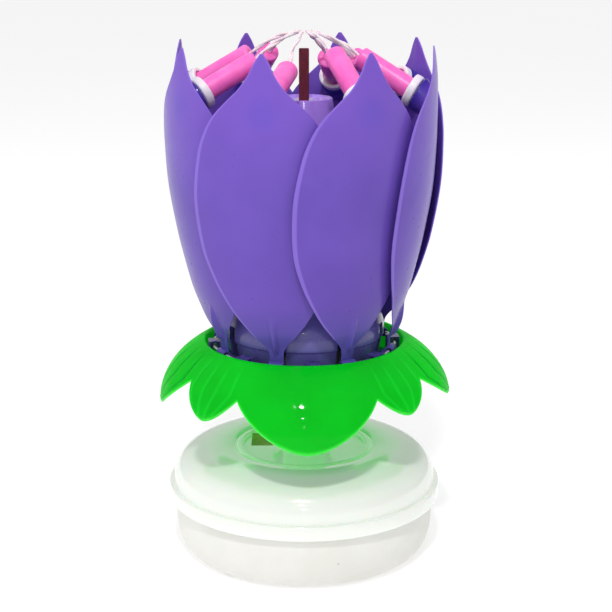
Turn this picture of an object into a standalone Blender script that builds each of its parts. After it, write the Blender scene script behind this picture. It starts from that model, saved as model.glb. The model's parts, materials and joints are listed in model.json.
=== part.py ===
"""Musical birthday candle: a lotus flower that opens and turns on a round base.

Metres, +Z up. The origin is the middle of the base's underside and the front faces -Y.
Each sub-part is one object. The flower is shut, as it is before its fuse is lit.
"""

import math

import bmesh
import bpy
from mathutils import Matrix, Vector

MM = 0.001

# Fits and cuts
gap = 0.3 * MM  # between pieces that touch, slide or turn on one another
overrun = 1.0 * MM  # how far a cutter passes the face that it cuts
sunk = 0.4 * MM  # how far a rib, post or barrel reaches into the wall that carries it
weld = 0.001 * MM  # vertices nearer than this are one
round_steps = 32  # sides of the base
middle_steps = 24  # sides of the pieces inside the flower
small_steps = 12  # sides of a small turned piece
bore_steps = 10  # sides of a post or a bore

# Base drum, the round cup that stands on the table
drum_radius = 33.4 * MM
drum_height = 16.3 * MM
drum_fillet = 4.5 * MM
drum_wall = 1.8 * MM
shaft_boss_radius = 4.6 * MM
shaft_boss_height = 7.0 * MM

# Base lid, the flattened dome with its band, bead and window
band_overhang = 1.7 * MM  # past the drum
band_low = 14.0 * MM
band_height = 4.1 * MM
band_round = 0.9 * MM
dome_overhang = 0.5 * MM  # past the drum
dome_top = 27.5 * MM
dome_flat_radius = 19.0 * MM
dome_power = 0.75  # under 1 squares the dome's shoulder
lid_wall = 1.6 * MM
disc_radius = 16.2 * MM
dish_depth = 0.7 * MM  # of the ground that the bead stands on, below the dome
disc_depth = 0.6 * MM
bead_width = 1.2 * MM
bead_rise = 0.5 * MM
lid_boss_radius = 5.6 * MM
lid_boss_rise = 3.0 * MM
lid_boss_depth = 3.4 * MM
window_width = 5.6 * MM
window_length = 10.8 * MM
window_x = -11.0 * MM
window_y = 5.7 * MM

# Screws that hold the lid to the drum, from below
screw_inset = 6.4 * MM  # from the drum's side
screw_angles_deg = (-10.0, 110.0, 230.0)
screw_radius = 1.1 * MM
screw_length = 13.0 * MM
screw_head_radius = 2.1 * MM
screw_head_height = 1.4 * MM
screw_sink = 1.2 * MM
cross_slot_share = 0.6  # of the head's radius
screw_post_radius = 3.0 * MM
screw_post_split = 9.0 * MM
screw_post_top = 25.2 * MM

# Spindle, the turning shaft under the flower
spindle_radius = 2.5 * MM
spindle_foot = 2.8 * MM
collar_radius = 5.0 * MM
collar_height = 2.45 * MM
cap_radius = 3.7 * MM
cap_height = 0.9 * MM

# Gear train
gear_module = 1.0 * MM
wheel_teeth = 24
pinion_teeth = 10
gear_face = 2.2 * MM
gear_backlash = 0.36 * MM
addendum_share = 1.0  # of the module
dedendum_share = 1.25
pressure_angle = math.radians(20)
spindle_gear_low = 15.9 * MM
spindle_gear_hub_radius = 4.5 * MM
spindle_gear_hub_height = 4.0 * MM
idler_angle = math.radians(-90)
idler_pin_radius = 1.0 * MM
idler_hub_radius = 2.3 * MM
idler_low = 9.9 * MM
idler_wheel_low = 12.6 * MM
idler_boss_radius = 2.6 * MM
idler_pin_depth = 3.5 * MM
motor_angle = math.radians(20)  # direction from the idler to the motor

# Motor, buzzer, board and cells
motor_radius = 7.6 * MM
motor_height = 9.7 * MM
motor_round = 0.5 * MM
motor_nose_radius = 3.0 * MM
motor_nose_height = 0.5 * MM
motor_shaft_radius = 0.8 * MM
motor_shaft_depth = 4.0 * MM
buzzer_radius = 9.0 * MM
buzzer_height = 3.4 * MM
buzzer_hole_radius = 1.2 * MM
buzzer_x = -16.0 * MM
buzzer_y = -8.0 * MM
board_width = 13.4 * MM
board_length = 22.0 * MM
board_thickness = 1.2 * MM
board_top = 24.0 * MM
board_post_radius = 1.6 * MM
cell_radius = 5.8 * MM
cell_height = 5.4 * MM
cell_rim = 0.5 * MM
cell_pitch = 12.6 * MM
cell_row_y = 15.5 * MM
contact_width = 5.0 * MM
contact_thickness = 0.4 * MM

# Petal hinge
petal_count = 8
petal_first_angle = math.radians(-107)  # the petal left of the front
hinge_radius = 22.8 * MM
hinge_rise = 5.3 * MM  # above the carrier's flange
wire_radius = 0.55 * MM
barrel_radius = 1.5 * MM
barrel_length = 3.8 * MM

# Petal
petal_height = 75.85 * MM  # above its hinge
petal_flare_share = 1.4561  # outer face at its widest, as a share of the hinge's radius
petal_half_width = 18.3 * MM
petal_wall = 1.0 * MM
petal_lap_step = 2.1 * MM  # how far one edge lies outside the next petal's
petal_columns = 5
# Each row up the petal: share of its height, of its half width, and of its outer radius.
petal_row_shares = (
    (0.0, 0.100, 0.674),
    (0.054, 0.110, 0.690),
    (0.103, 0.280, 0.738),
    (0.148, 0.440, 0.771),
    (0.204, 0.600, 0.815),
    (0.283, 0.780, 0.863),
    (0.389, 0.940, 0.919),
    (0.546, 1.000, 0.979),
    (0.691, 0.905, 1.000),
    (0.764, 0.785, 1.002),
    (0.813, 0.645, 1.002),
    (0.856, 0.465, 1.001),
    (0.895, 0.295, 0.998),
    (0.935, 0.175, 0.991),
    (0.975, 0.090, 0.982),
    (1.0, 0.020, 0.975),
)
fin_width = 1.8 * MM
fin_foot_rise = 3.5 * MM  # above the hinge
fin_rise = 1.4 * MM
# Up the fin's edge: share of the fin's length, share of its rise.
fin_length = 9.4 * MM
fin_shares = ((0.0, 0.0), (0.13, 0.9), (0.36, 1.0), (0.7, 0.55), (1.0, 0.0))
heel_length = 9.0 * MM
heel_width = 2.2 * MM
heel_thickness = 1.6 * MM
heel_tip_radius = 1.0 * MM
heel_drop = math.radians(30)

# Candle, its cup and its socket
socket_share = 0.8233  # up the petal's height to where the candle's line meets its inner face
socket_radius = 4.2 * MM
socket_length = 4.2 * MM
socket_bore_radius = 2.9 * MM
socket_bore_depth = 3.0 * MM
candle_rise = math.radians(28)
cup_radius = 4.0 * MM
cup_height = 2.4 * MM
cup_round = 0.7 * MM
cup_bottom = 1.3 * MM
spigot_length = 2.6 * MM
candle_radius = 2.65 * MM
candle_length = 15.2 * MM
candle_chamfer = 0.8 * MM
wick_radius = 0.5 * MM
wick_end_radius = 2.1 * MM  # distance of the wick's end from the flower's axis
wick_end_rise = 3.8 * MM  # above the fuse
wick_bow = 1.0 * MM
wick_points = 5

# Petal carrier
carrier_wall = 1.2 * MM
flange_reach = 1.8 * MM  # past the hinge line
carrier_height = 15.7 * MM  # up to the top of its flange
# Shares of the hinge's radius: the step that the lift ring starts in, the spring's cup and the guide.
seat_share = 0.6974
step_depth = 4.1 * MM
spring_cup_share = 0.5746
carrier_boss_radius = 4.7 * MM
carrier_boss_height = 3.9 * MM
guide_share = 0.3202
guide_rise = 10.2 * MM  # above the flange
post_width = 3.4 * MM
post_inset = 1.6 * MM  # inside the hinge line
post_cover = 0.6 * MM  # above the wire's bore

# Lift ring and opening spring
ring_thickness = 2.0 * MM
ring_collar_wall = 1.2 * MM
ring_collar_height = 4.0 * MM
ring_play = 0.5 * MM  # round the guide, and a little more in the seat
spring_wire_radius = 0.5 * MM
spring_turns = 6
spring_points_per_turn = 8

# Central tower and fuse
tower_bell_height = 51.4 * MM
tower_top_radius = 7.0 * MM
tower_rim_width = 0.9 * MM
tower_rim_depth = 0.5 * MM
tower_bowl_height = 16.05 * MM
# Shares of the hinge's radius: the tower's neck, bowl and foot, and the start of its slots.
tower_neck_share = 0.785
tower_bowl_share = 0.8947
tower_foot_share = 0.7588
tower_wall = 1.1 * MM
# Down the bell: share of its height below the top, share of its spread.
bell_shares = ((0.0, 0.0), (0.17, 0.13), (0.50, 0.43), (0.85, 0.82))
# Down the bowl: share of its height, share of the way from the neck or foot out to the bowl's radius.
bowl_upper_shares = ((0.16, 0.70), (0.34, 1.0), (0.505, 0.97))
bowl_lower_shares = ((0.525, 0.85), (0.78, 0.60))
slot_width = 3.0 * MM
slot_height = 11.6 * MM
slot_inner_share = 0.5702
fuse_width = 2.5 * MM
fuse_thickness = 1.8 * MM
fuse_rise = 12.1 * MM  # above the tower
fuse_depth = 6.0 * MM
fuse_y = -1.6 * MM

# Calyx
calyx_wall = 1.0 * MM
calyx_rim_rise = 6.4 * MM  # above the carrier's flange
calyx_cup_clearance = 0.4 * MM  # round the carrier's flange
calyx_rim_width = 1.2 * MM
calyx_hole_clearance = 0.7 * MM  # round the carrier's seat
skirt_reach = 10.9 * MM
skirt_drop = 15.85 * MM
skirt_power = 1.35
skirt_spread_power = 1.3
skirt_rows = 4
slope_share = 0.02  # how far on the skirt's slope is read
lobe_curl = 4.0 * MM  # how fast the small lobes draw in
lobe_curl_share = 0.5  # where along a full lobe they start to
calyx_steps = 72
calyx_turn = math.radians(1.6)
notch_share = 0.51  # length of the skirt at the notches, as a share of a full lobe
big_lobe_half_angle = math.radians(30)
small_lobe_half_angle = math.radians(15)
big_lobe_power = 1.8
small_lobe_power = 1.7
# Lengths of the lobes from the front one on, anticlockwise seen from above, as shares of a full lobe.
lobe_length_shares = (1.13, 0.836, 0.935, 0.841, 0.977, 0.841, 1.029, 0.89)


# Scene and materials

for old in list(bpy.data.objects):
    bpy.data.objects.remove(old, do_unlink=True)

parts = bpy.data.collections.new("musical_birthday_candle")
helpers = bpy.data.collections.new("helpers")
bpy.context.scene.collection.children.link(parts)
bpy.context.scene.collection.children.link(helpers)


def material(name, colour, roughness, metallic=0.0):
    made = bpy.data.materials.new(name)
    made.use_nodes = True
    shader = made.node_tree.nodes["Principled BSDF"]
    shader.inputs["Base Color"].default_value = (*colour, 1.0)
    shader.inputs["Roughness"].default_value = roughness
    shader.inputs["Metallic"].default_value = metallic
    return made


petal_plastic = material("petal_plastic", (0.19, 0.09, 0.58), 0.25)
tower_plastic = material("tower_plastic", (0.08, 0.04, 0.38), 0.22)
leaf_plastic = material("leaf_plastic", (0.0, 0.55, 0.02), 0.3)
drum_plastic = material("drum_plastic", (0.86, 0.85, 0.82), 0.5)
lid_plastic = material("lid_plastic", (0.88, 0.89, 0.86), 0.15)
cup_plastic = material("cup_plastic", (0.88, 0.87, 0.88), 0.3)
candle_wax = material("candle_wax", (0.95, 0.10, 0.45), 0.4)
wick_cotton = material("wick_cotton", (0.85, 0.72, 0.74), 0.9)
fuse_paper = material("fuse_paper", (0.06, 0.01, 0.02), 0.8)
white_nylon = material("white_nylon", (0.8, 0.8, 0.77), 0.45)
spring_steel = material("spring_steel", (0.55, 0.55, 0.56), 0.3, 1.0)
motor_steel = material("motor_steel", (0.6, 0.6, 0.62), 0.35, 1.0)
contact_brass = material("contact_brass", (0.7, 0.55, 0.25), 0.35, 1.0)
board_laminate = material("board_laminate", (0.18, 0.09, 0.03), 0.55)
buzzer_plastic = material("buzzer_plastic", (0.02, 0.02, 0.02), 0.5)


# Modelling helpers


def keep(obj, name, finish):
    """Names a finished piece, gives it its material and puts it among the parts."""
    obj.name = name
    obj.data.name = name
    obj.hide_render = False
    obj.display_type = "TEXTURED"
    obj.data.materials.clear()
    obj.data.materials.append(finish)
    for collection in list(obj.users_collection):
        collection.objects.unlink(obj)
    parts.objects.link(obj)
    obj.data.shade_smooth()
    obj.data.set_sharp_from_angle(angle=math.radians(35))
    return obj


def helper(name, mesh):
    """A shape that is joined to a piece or cut from one."""
    obj = bpy.data.objects.new(name, mesh)
    helpers.objects.link(obj)
    obj.hide_render = True
    obj.display_type = "WIRE"
    return obj


def settled(obj):
    """The object with its modifiers applied."""
    bpy.context.view_layer.update()
    graph = bpy.context.evaluated_depsgraph_get()
    mesh = bpy.data.meshes.new_from_object(obj.evaluated_get(graph))
    if obj.type == "MESH":
        obj.modifiers.clear()
        obj.data = mesh
        return obj
    made = helper(obj.name, mesh)
    made.matrix_world = obj.matrix_world.copy()
    bpy.data.objects.remove(obj, do_unlink=True)
    shape = bmesh.new()
    shape.from_mesh(mesh)
    bmesh.ops.remove_doubles(shape, verts=shape.verts, dist=weld)
    shape.to_mesh(mesh)
    shape.free()
    return made


def combined(obj, others, operation):
    """Joins the others to the object, or cuts them from it, and removes them."""
    for other in others:
        modifier = obj.modifiers.new(operation, "BOOLEAN")
        modifier.operation = operation
        modifier.solver = "EXACT"
        modifier.object = other
    made = settled(obj)
    for other in others:
        bpy.data.objects.remove(other, do_unlink=True)
    return made


def joined(obj, *others):
    return combined(obj, others, "UNION")


def cut(obj, *others):
    return combined(obj, others, "DIFFERENCE")


def turned(name, profile, steps, closed=False):
    """A solid turned about Z from (radius, height) points that run down its outer side."""
    mesh = bpy.data.meshes.new(name)
    shape = bmesh.new()
    points = [shape.verts.new((radius, 0, height)) for radius, height in profile]
    for first, second in zip(points, points[1:] + points[:1] if closed else points[1:]):
        shape.edges.new((first, second))
    shape.to_mesh(mesh)
    shape.free()
    obj = helper(name, mesh)
    screw = obj.modifiers.new("turn", "SCREW")
    screw.steps = screw.render_steps = steps
    screw.use_merge_vertices = True
    screw.merge_threshold = weld
    return settled(obj)


def cylinder(name, radius, low, high, x=0.0, y=0.0, steps=bore_steps):
    mesh = bpy.data.meshes.new(name)
    shape = bmesh.new()
    bmesh.ops.create_cone(
        shape,
        cap_ends=True,
        segments=steps,
        radius1=radius,
        radius2=radius,
        depth=high - low,
        matrix=Matrix.Translation((x, y, (low + high) / 2)),
    )
    shape.to_mesh(mesh)
    shape.free()
    return helper(name, mesh)


def box(name, low, high):
    low, high = Vector(low), Vector(high)
    mesh = bpy.data.meshes.new(name)
    shape = bmesh.new()
    size = Matrix.Diagonal((*(high - low), 1.0))
    bmesh.ops.create_cube(shape, size=1.0, matrix=Matrix.Translation((low + high) / 2) @ size)
    shape.to_mesh(mesh)
    shape.free()
    return helper(name, mesh)


def plate(name, outline, thickness):
    """A flat outline in X and Y, thickened equally to both sides."""
    curve = bpy.data.curves.new(name, "CURVE")
    curve.dimensions = "2D"
    curve.fill_mode = "BOTH"
    curve.extrude = thickness / 2
    line = curve.splines.new("POLY")
    line.points.add(len(outline) - 1)
    for point, (x, y) in zip(line.points, outline):
        point.co = (x, y, 0, 1)
    line.use_cyclic_u = True
    obj = bpy.data.objects.new(name, curve)
    helpers.objects.link(obj)
    return settled(obj)


def tube(name, route, radius, bevel_resolution, cyclic=False):
    curve = bpy.data.curves.new(name, "CURVE")
    curve.dimensions = "3D"
    curve.bevel_depth = radius
    curve.bevel_resolution = bevel_resolution
    curve.use_fill_caps = not cyclic
    line = curve.splines.new("POLY")
    line.points.add(len(route) - 1)
    for point, place in zip(line.points, route):
        point.co = (*place, 1)
    line.use_cyclic_u = cyclic
    obj = bpy.data.objects.new(name, curve)
    helpers.objects.link(obj)
    return settled(obj)


def placed(obj, matrix):
    """Moves the mesh itself, so that the object stays at its origin."""
    obj.data.transform(matrix)
    return obj


def polar(radius, angle):
    return radius * math.cos(angle), radius * math.sin(angle)


def shoulder(centre, reach, rise, count, power=1.0):
    """Points down a quarter of a squared ellipse, from its top to its side."""
    points = []
    for index in range(count + 1):
        angle = math.pi / 2 * (1 - index / count)
        out, up = max(math.cos(angle), 0.0) ** power, max(math.sin(angle), 0.0) ** power
        points.append((centre[0] + reach * out, centre[1] + rise * up))
    return points


def between(low, high, share):
    return low + (high - low) * share


# Places shared by several pieces

floor_top = drum_wall
shaft_distance = gear_module * (wheel_teeth + pinion_teeth) / 2
idler_x, idler_y = polar(shaft_distance, idler_angle)
motor_x = idler_x + shaft_distance * math.cos(motor_angle)
motor_y = idler_y + shaft_distance * math.sin(motor_angle)
lid_boss_top = dome_top + lid_boss_rise
band_radius = drum_radius + band_overhang
dome_radius = drum_radius + dome_overhang
screw_circle = drum_radius - screw_inset
bead_foot = dome_top - dish_depth
disc_top = bead_foot - disc_depth
collar_low = lid_boss_top + gap
board_left = window_x - board_width / 2 - board_post_radius
motor_low = floor_top + gap
motor_top = motor_low + motor_height + motor_nose_height
carrier_bottom = collar_low + collar_height + gap
petal_radius = hinge_radius * petal_flare_share
flange_radius = hinge_radius + flange_reach
seat_radius = hinge_radius * seat_share
spring_cup_radius = hinge_radius * spring_cup_share
guide_radius = hinge_radius * guide_share
ring_radius = seat_radius - 2 * gap
spring_radius = (guide_radius + spring_cup_radius) / 2
tower_neck_radius = hinge_radius * tower_neck_share
tower_bowl_radius = hinge_radius * tower_bowl_share
tower_foot_radius = hinge_radius * tower_foot_share
slot_inner_radius = hinge_radius * slot_inner_share
calyx_cup_radius = flange_radius + calyx_cup_clearance
calyx_rim_radius = calyx_cup_radius + calyx_rim_width
calyx_hole_radius = seat_radius + carrier_wall + calyx_hole_clearance
flange_top = carrier_bottom + carrier_height
guide_top = flange_top + guide_rise
hinge_height = flange_top + hinge_rise
fin_foot_height = hinge_height + fin_foot_rise
socket_height = hinge_height + petal_height * socket_share
calyx_rim_height = flange_top + calyx_rim_rise
petal_pitch = 2 * math.pi / petal_count
petal_angles = [petal_first_angle + petal_pitch * index for index in range(petal_count)]
candle_axis = Vector((-math.cos(candle_rise), 0, math.sin(candle_rise)))
heel_tip_height = hinge_height - heel_length * math.sin(heel_drop)
ring_top = heel_tip_height - heel_tip_radius - gap
ring_low = ring_top - ring_thickness
tower_foot = flange_top + gap
tower_neck_height = tower_foot + tower_bowl_height
tower_top = tower_neck_height + tower_bell_height
slot_top = tower_foot + slot_height
fuse_foot = tower_top - tower_wall - fuse_depth
fuse_top = tower_top + fuse_rise
wick_end_height = fuse_top + wick_end_rise


# Base drum


def base_drum():
    inner = drum_radius - drum_wall
    fillet = shoulder((drum_radius - drum_fillet, 0), drum_fillet, drum_fillet, 3)
    profile = [(0, floor_top), (inner - drum_wall, floor_top), (inner, floor_top + drum_wall)]
    profile += [(inner, drum_height), (drum_radius, drum_height)]
    profile += [(radius, drum_fillet - height) for radius, height in reversed(fillet)]
    profile += [(0, 0)]
    drum = turned("base_drum", profile, round_steps)
    foot = floor_top - sunk
    bosses = [cylinder("shaft_boss", shaft_boss_radius, foot, shaft_boss_height)]
    bosses.append(
        cylinder("idler_boss", idler_boss_radius, foot, idler_low - gap, idler_x, idler_y)
    )
    cuts = [
        cylinder(
            "shaft_bore",
            spindle_radius + gap,
            spindle_foot - gap,
            shaft_boss_height + overrun,
        ),
        cylinder(
            "idler_bore",
            idler_pin_radius + gap,
            idler_low - gap - idler_pin_depth,
            idler_low + overrun,
            idler_x,
            idler_y,
        ),
    ]
    for degrees in screw_angles_deg:
        x, y = polar(screw_circle, math.radians(degrees))
        bosses.append(
            cylinder("screw_boss", screw_post_radius, foot, screw_post_split - gap, x, y)
        )
        cuts.append(
            cylinder("screw_bore", screw_radius + gap, -overrun, screw_post_split + overrun, x, y)
        )
        seat = screw_sink + screw_head_height + gap
        cuts.append(
            cylinder("head_bore", screw_head_radius + gap, -overrun, seat, x, y)
        )
    drum = cut(joined(drum, *bosses), *cuts)
    return keep(drum, "base_drum", drum_plastic)


# Base lid


def base_lid():
    dome_foot = band_low + band_height + gap
    bore = spindle_radius + gap
    outer = shoulder(
        (dome_flat_radius, dome_foot),
        dome_radius - dome_flat_radius,
        dome_top - dome_foot,
        5,
        dome_power,
    )
    inner = shoulder(
        (dome_flat_radius, dome_foot),
        dome_radius - lid_wall - dome_flat_radius,
        dome_top - lid_wall - dome_foot,
        3,
        dome_power,
    )
    band_top = band_low + band_height
    bead_top = bead_foot + bead_rise
    bead_middle = disc_radius + bead_width / 2
    profile = [(bore, lid_boss_top), (lid_boss_radius, lid_boss_top), (lid_boss_radius, disc_top)]
    profile += [(disc_radius, disc_top), (disc_radius, bead_foot), (bead_middle, bead_top)]
    profile += [(bead_middle + bead_width / 2, bead_foot)]
    profile += outer
    profile += [(band_radius - band_round, band_top), (band_radius, band_top - band_round)]
    profile += [(band_radius, band_low + band_round), (band_radius - band_round, band_low)]
    lip = drum_radius + gap
    profile += [(lip, band_low), (lip, drum_height + gap)]
    profile += [(dome_radius - lid_wall, drum_height + gap)]
    profile += list(reversed(inner))
    under = disc_top - lid_wall
    boss_low = dome_top - lid_wall - lid_boss_depth
    profile += [(disc_radius, under), (lid_boss_radius, under), (lid_boss_radius, boss_low)]
    profile += [(bore, boss_low)]
    lid = turned("base_lid", profile, round_steps, closed=True)
    roof = dome_top - lid_wall + sunk
    posts = []
    post_x = board_left + 2 * board_post_radius
    for y in (window_y - board_length / 4, window_y + board_length / 4):
        posts.append(cylinder("board_post", board_post_radius, board_top + gap, roof, post_x, y))
    idler_top = spindle_gear_low + gear_face + gap
    posts.append(
        cylinder("idler_post", idler_boss_radius, idler_top + gap, roof, idler_x, idler_y)
    )
    cuts = [
        box(
            "window",
            (window_x - window_width / 2, window_y - window_length / 2, under - overrun),
            (window_x + window_width / 2, window_y + window_length / 2, disc_top + overrun),
        ),
        cylinder(
            "idler_bore",
            idler_pin_radius + gap,
            idler_top - overrun,
            idler_top + gap + idler_pin_depth,
            idler_x,
            idler_y,
        ),
    ]
    for degrees in screw_angles_deg:
        x, y = polar(screw_circle, math.radians(degrees))
        posts.append(cylinder("screw_post", screw_post_radius, screw_post_split, screw_post_top, x, y))
        screw_end = screw_sink + screw_head_height + screw_length
        cuts.append(
            cylinder("screw_bore", screw_radius + gap, screw_post_split - overrun, screw_end + gap, x, y)
        )
    lid = cut(joined(lid, *posts), *cuts)
    return keep(lid, "base_lid", lid_plastic)


# Lid screws


def lid_screws():
    head_low = screw_sink
    head_top = head_low + screw_head_height
    profile = [(0, head_top + screw_length), (screw_radius, head_top + screw_length - screw_radius)]
    profile += [(screw_radius, head_top), (screw_head_radius, head_top)]
    profile += [(screw_head_radius, head_low), (0, head_low)]
    first = turned("lid_screw", profile, small_steps)
    driver = screw_radius / 2
    reach = screw_head_radius * cross_slot_share
    cross = [
        box("slot_x", (-reach, -driver / 2, head_low - overrun), (reach, driver / 2, head_low + driver)),
        box("slot_y", (-driver / 2, -reach, head_low - overrun), (driver / 2, reach, head_low + driver)),
    ]
    first = cut(first, *cross)
    for index, degrees in enumerate(screw_angles_deg, 1):
        screw = bpy.data.objects.new("lid_screw", first.data.copy())
        screw.location = (*polar(screw_circle, math.radians(degrees)), 0)
        parts.objects.link(screw)
        keep(screw, f"lid_screw_{index}", motor_steel)
    bpy.data.objects.remove(first, do_unlink=True)


# Spindle


def spindle():
    cap_low = carrier_bottom + carrier_boss_height + gap
    collar_top = collar_low + collar_height
    profile = [(0, cap_low + cap_height), (cap_radius, cap_low + cap_height)]
    profile += [(cap_radius, cap_low), (spindle_radius, cap_low)]
    profile += [(spindle_radius, collar_top), (collar_radius, collar_top)]
    profile += [(collar_radius, collar_low), (spindle_radius, collar_low)]
    profile += [(spindle_radius, spindle_foot), (0, spindle_foot)]
    return keep(turned("spindle", profile, small_steps), "spindle", white_nylon)


# Gears


def gear_blank(name, teeth, low, high, phase):
    """A spur gear about Z with a tooth at the phase angle. Its flanks are straight."""
    pitch_radius = gear_module * teeth / 2
    tip = pitch_radius + gear_module * addendum_share
    root = pitch_radius - gear_module * dedendum_share
    half = (math.pi * gear_module / 2 - gear_backlash) / 2
    tip_half = half - gear_module * addendum_share * math.tan(pressure_angle)
    root_half = half + gear_module * dedendum_share * math.tan(pressure_angle)
    outline = []
    for tooth in range(teeth):
        centre = phase + 2 * math.pi * tooth / teeth
        for radius, width in ((root, -root_half), (tip, -tip_half), (tip, tip_half), (root, root_half)):
            outline.append(polar(radius, centre + width / radius))
    blank = plate(name, outline, high - low)
    return placed(blank, Matrix.Translation((0, 0, (low + high) / 2)))


def spindle_gear():
    top = spindle_gear_low + gear_face
    hub_top = spindle_gear_low + spindle_gear_hub_height
    gear = gear_blank("spindle_gear", wheel_teeth, spindle_gear_low, top, idler_angle)
    hub = cylinder("hub", spindle_gear_hub_radius, top - sunk, hub_top)
    bore = cylinder("bore", spindle_radius + gap, spindle_gear_low - overrun, hub_top + overrun)
    return keep(cut(joined(gear, hub), bore), "spindle_gear", white_nylon)


def idler_gear():
    top = spindle_gear_low + gear_face
    wheel_top = idler_wheel_low + gear_face
    facing = idler_angle + math.pi + math.pi / pinion_teeth
    wheel = gear_blank("wheel", wheel_teeth, idler_wheel_low, wheel_top, motor_angle)
    small = gear_blank("small", pinion_teeth, wheel_top - sunk, top, facing)
    hub = cylinder("hub", idler_hub_radius, idler_low, idler_wheel_low + sunk)
    bore = cylinder("bore", idler_pin_radius + gap, idler_low - overrun, top + overrun)
    gear = cut(joined(wheel, small, hub), bore)
    gear.location = (idler_x, idler_y, 0)
    return keep(gear, "idler_gear", white_nylon)


def idler_pin():
    low = idler_low - idler_pin_depth
    high = spindle_gear_low + gear_face + gap + idler_pin_depth
    pin = cylinder("idler_pin", idler_pin_radius, low, high, idler_x, idler_y)
    return keep(pin, "idler_pin", motor_steel)


def motor_pinion():
    facing = motor_angle + math.pi + math.pi / pinion_teeth
    top = idler_wheel_low + gear_face
    gear = gear_blank("motor_pinion", pinion_teeth, idler_wheel_low, top, facing)
    shaft = cylinder("shaft", motor_shaft_radius, motor_top - motor_shaft_depth + gap, top - sunk)
    gear = joined(gear, shaft)
    gear.location = (motor_x, motor_y, 0)
    return keep(gear, "motor_pinion", white_nylon)


# Motor, buzzer, board and cells


def motor():
    body_top = motor_low + motor_height
    profile = [(0, motor_top), (motor_nose_radius, motor_top), (motor_nose_radius, body_top)]
    profile += [(motor_radius - motor_round, body_top), (motor_radius, body_top - motor_round)]
    profile += [(motor_radius, motor_low), (0, motor_low)]
    can = turned("motor", profile, small_steps)
    bore = cylinder(
        "bore", motor_shaft_radius + gap, motor_top - motor_shaft_depth, motor_top + overrun
    )
    can = cut(can, bore)
    can.location = (motor_x, motor_y, 0)
    return keep(can, "motor", motor_steel)


def buzzer():
    low = floor_top + gap
    high = low + buzzer_height
    body = cylinder("buzzer", buzzer_radius, low, high, buzzer_x, buzzer_y, middle_steps)
    hole_foot = high - 2 * buzzer_hole_radius
    hole = cylinder("hole", buzzer_hole_radius, hole_foot, high + overrun, buzzer_x, buzzer_y)
    return keep(cut(body, hole), "buzzer", buzzer_plastic)


def circuit_board():
    front = window_y - board_length / 2
    board = box(
        "circuit_board",
        (board_left, front, board_top - board_thickness),
        (board_left + board_width, front + board_length, board_top),
    )
    return keep(board, "circuit_board", board_laminate)


def cells_and_contacts():
    lower = floor_top + gap
    cell_low = lower + contact_thickness + gap
    upper = cell_low + cell_height + gap
    half_length = cell_pitch + contact_width
    for name, low in (("cell_contact_lower", lower), ("cell_contact_upper", upper)):
        strip = box(
            name,
            (-half_length, cell_row_y - contact_width / 2, low),
            (half_length, cell_row_y + contact_width / 2, low + contact_thickness),
        )
        keep(strip, name, contact_brass)
    for index in range(3):
        profile = [(0, cell_low + cell_height), (cell_radius - cell_rim, cell_low + cell_height)]
        profile += [(cell_radius, cell_low + cell_height - cell_rim), (cell_radius, cell_low + cell_rim)]
        profile += [(cell_radius - cell_rim, cell_low), (0, cell_low)]
        cell = turned("button_cell", profile, small_steps)
        cell.location = ((index - 1) * cell_pitch, cell_row_y, 0)
        keep(cell, f"button_cell_{index + 1}", motor_steel)


# Petal carrier, its hinge wire, the lift ring and the spring


def hinge_route():
    """A ring that runs straight through each petal's barrel and rounds the corners between them."""
    straight = barrel_length / 2 + gap
    tangent = hinge_radius * math.tan(petal_pitch / 2) - straight
    corner_radius = tangent / math.tan(petal_pitch / 2)
    route = []
    for angle in petal_angles:
        forward = Vector((-math.sin(angle), math.cos(angle), 0))
        middle = Vector((*polar(hinge_radius, angle), hinge_height))
        route.append(middle - forward * straight)
        route.append(middle + forward * straight)
        outward = Vector((math.cos(angle), math.sin(angle), 0))
        centre = middle + forward * straight - outward * corner_radius
        for share in (0.33, 0.67):
            turn = angle + petal_pitch * share
            route.append(centre + Vector((*polar(corner_radius, turn), 0)))
    return route


def petal_carrier():
    floor = carrier_bottom + carrier_wall
    seat = flange_top - step_depth
    bore = spindle_radius + gap
    boss_top = carrier_bottom + carrier_boss_height
    tube_inner = guide_radius - carrier_wall
    seat_outer = seat_radius + carrier_wall
    profile = [(flange_radius, flange_top), (flange_radius, flange_top - carrier_wall)]
    profile += [(seat_outer, flange_top - carrier_wall), (seat_outer, seat - carrier_wall)]
    profile += [(spring_cup_radius, seat - carrier_wall)]
    profile += [(spring_cup_radius, carrier_bottom), (bore, carrier_bottom), (bore, boss_top)]
    profile += [(carrier_boss_radius, boss_top), (carrier_boss_radius, floor), (tube_inner, floor)]
    profile += [(tube_inner, guide_top), (guide_radius, guide_top), (guide_radius, floor)]
    profile += [(spring_cup_radius - carrier_wall, floor), (spring_cup_radius - carrier_wall, seat)]
    profile += [(seat_radius, seat), (seat_radius, flange_top)]
    carrier = turned("petal_carrier", profile, middle_steps, closed=True)
    post_top = hinge_height + wire_radius + gap + post_cover
    posts = []
    for angle in petal_angles:
        post = box(
            "post",
            (hinge_radius - post_inset, -post_width / 2, flange_top - sunk),
            (flange_radius - gap / 2, post_width / 2, post_top),
        )
        posts.append(placed(post, Matrix.Rotation(angle + petal_pitch / 2, 4, "Z")))
    carrier = joined(carrier, *posts)
    carrier = cut(carrier, tube("wire_bore", hinge_route(), wire_radius + gap, 2, cyclic=True))
    return keep(carrier, "petal_carrier", tower_plastic)


def hinge_wire():
    wire = tube("hinge_wire", hinge_route(), wire_radius, 1, cyclic=True)
    return keep(wire, "hinge_wire", spring_steel)


def lift_ring():
    inner = guide_radius + ring_play
    collar = inner + ring_collar_wall
    profile = [(collar, ring_top + ring_collar_height), (collar, ring_top), (ring_radius, ring_top)]
    profile += [(ring_radius, ring_low), (inner, ring_low), (inner, ring_top + ring_collar_height)]
    ring = turned("lift_ring", profile, middle_steps, closed=True)
    return keep(ring, "lift_ring", white_nylon)


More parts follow.
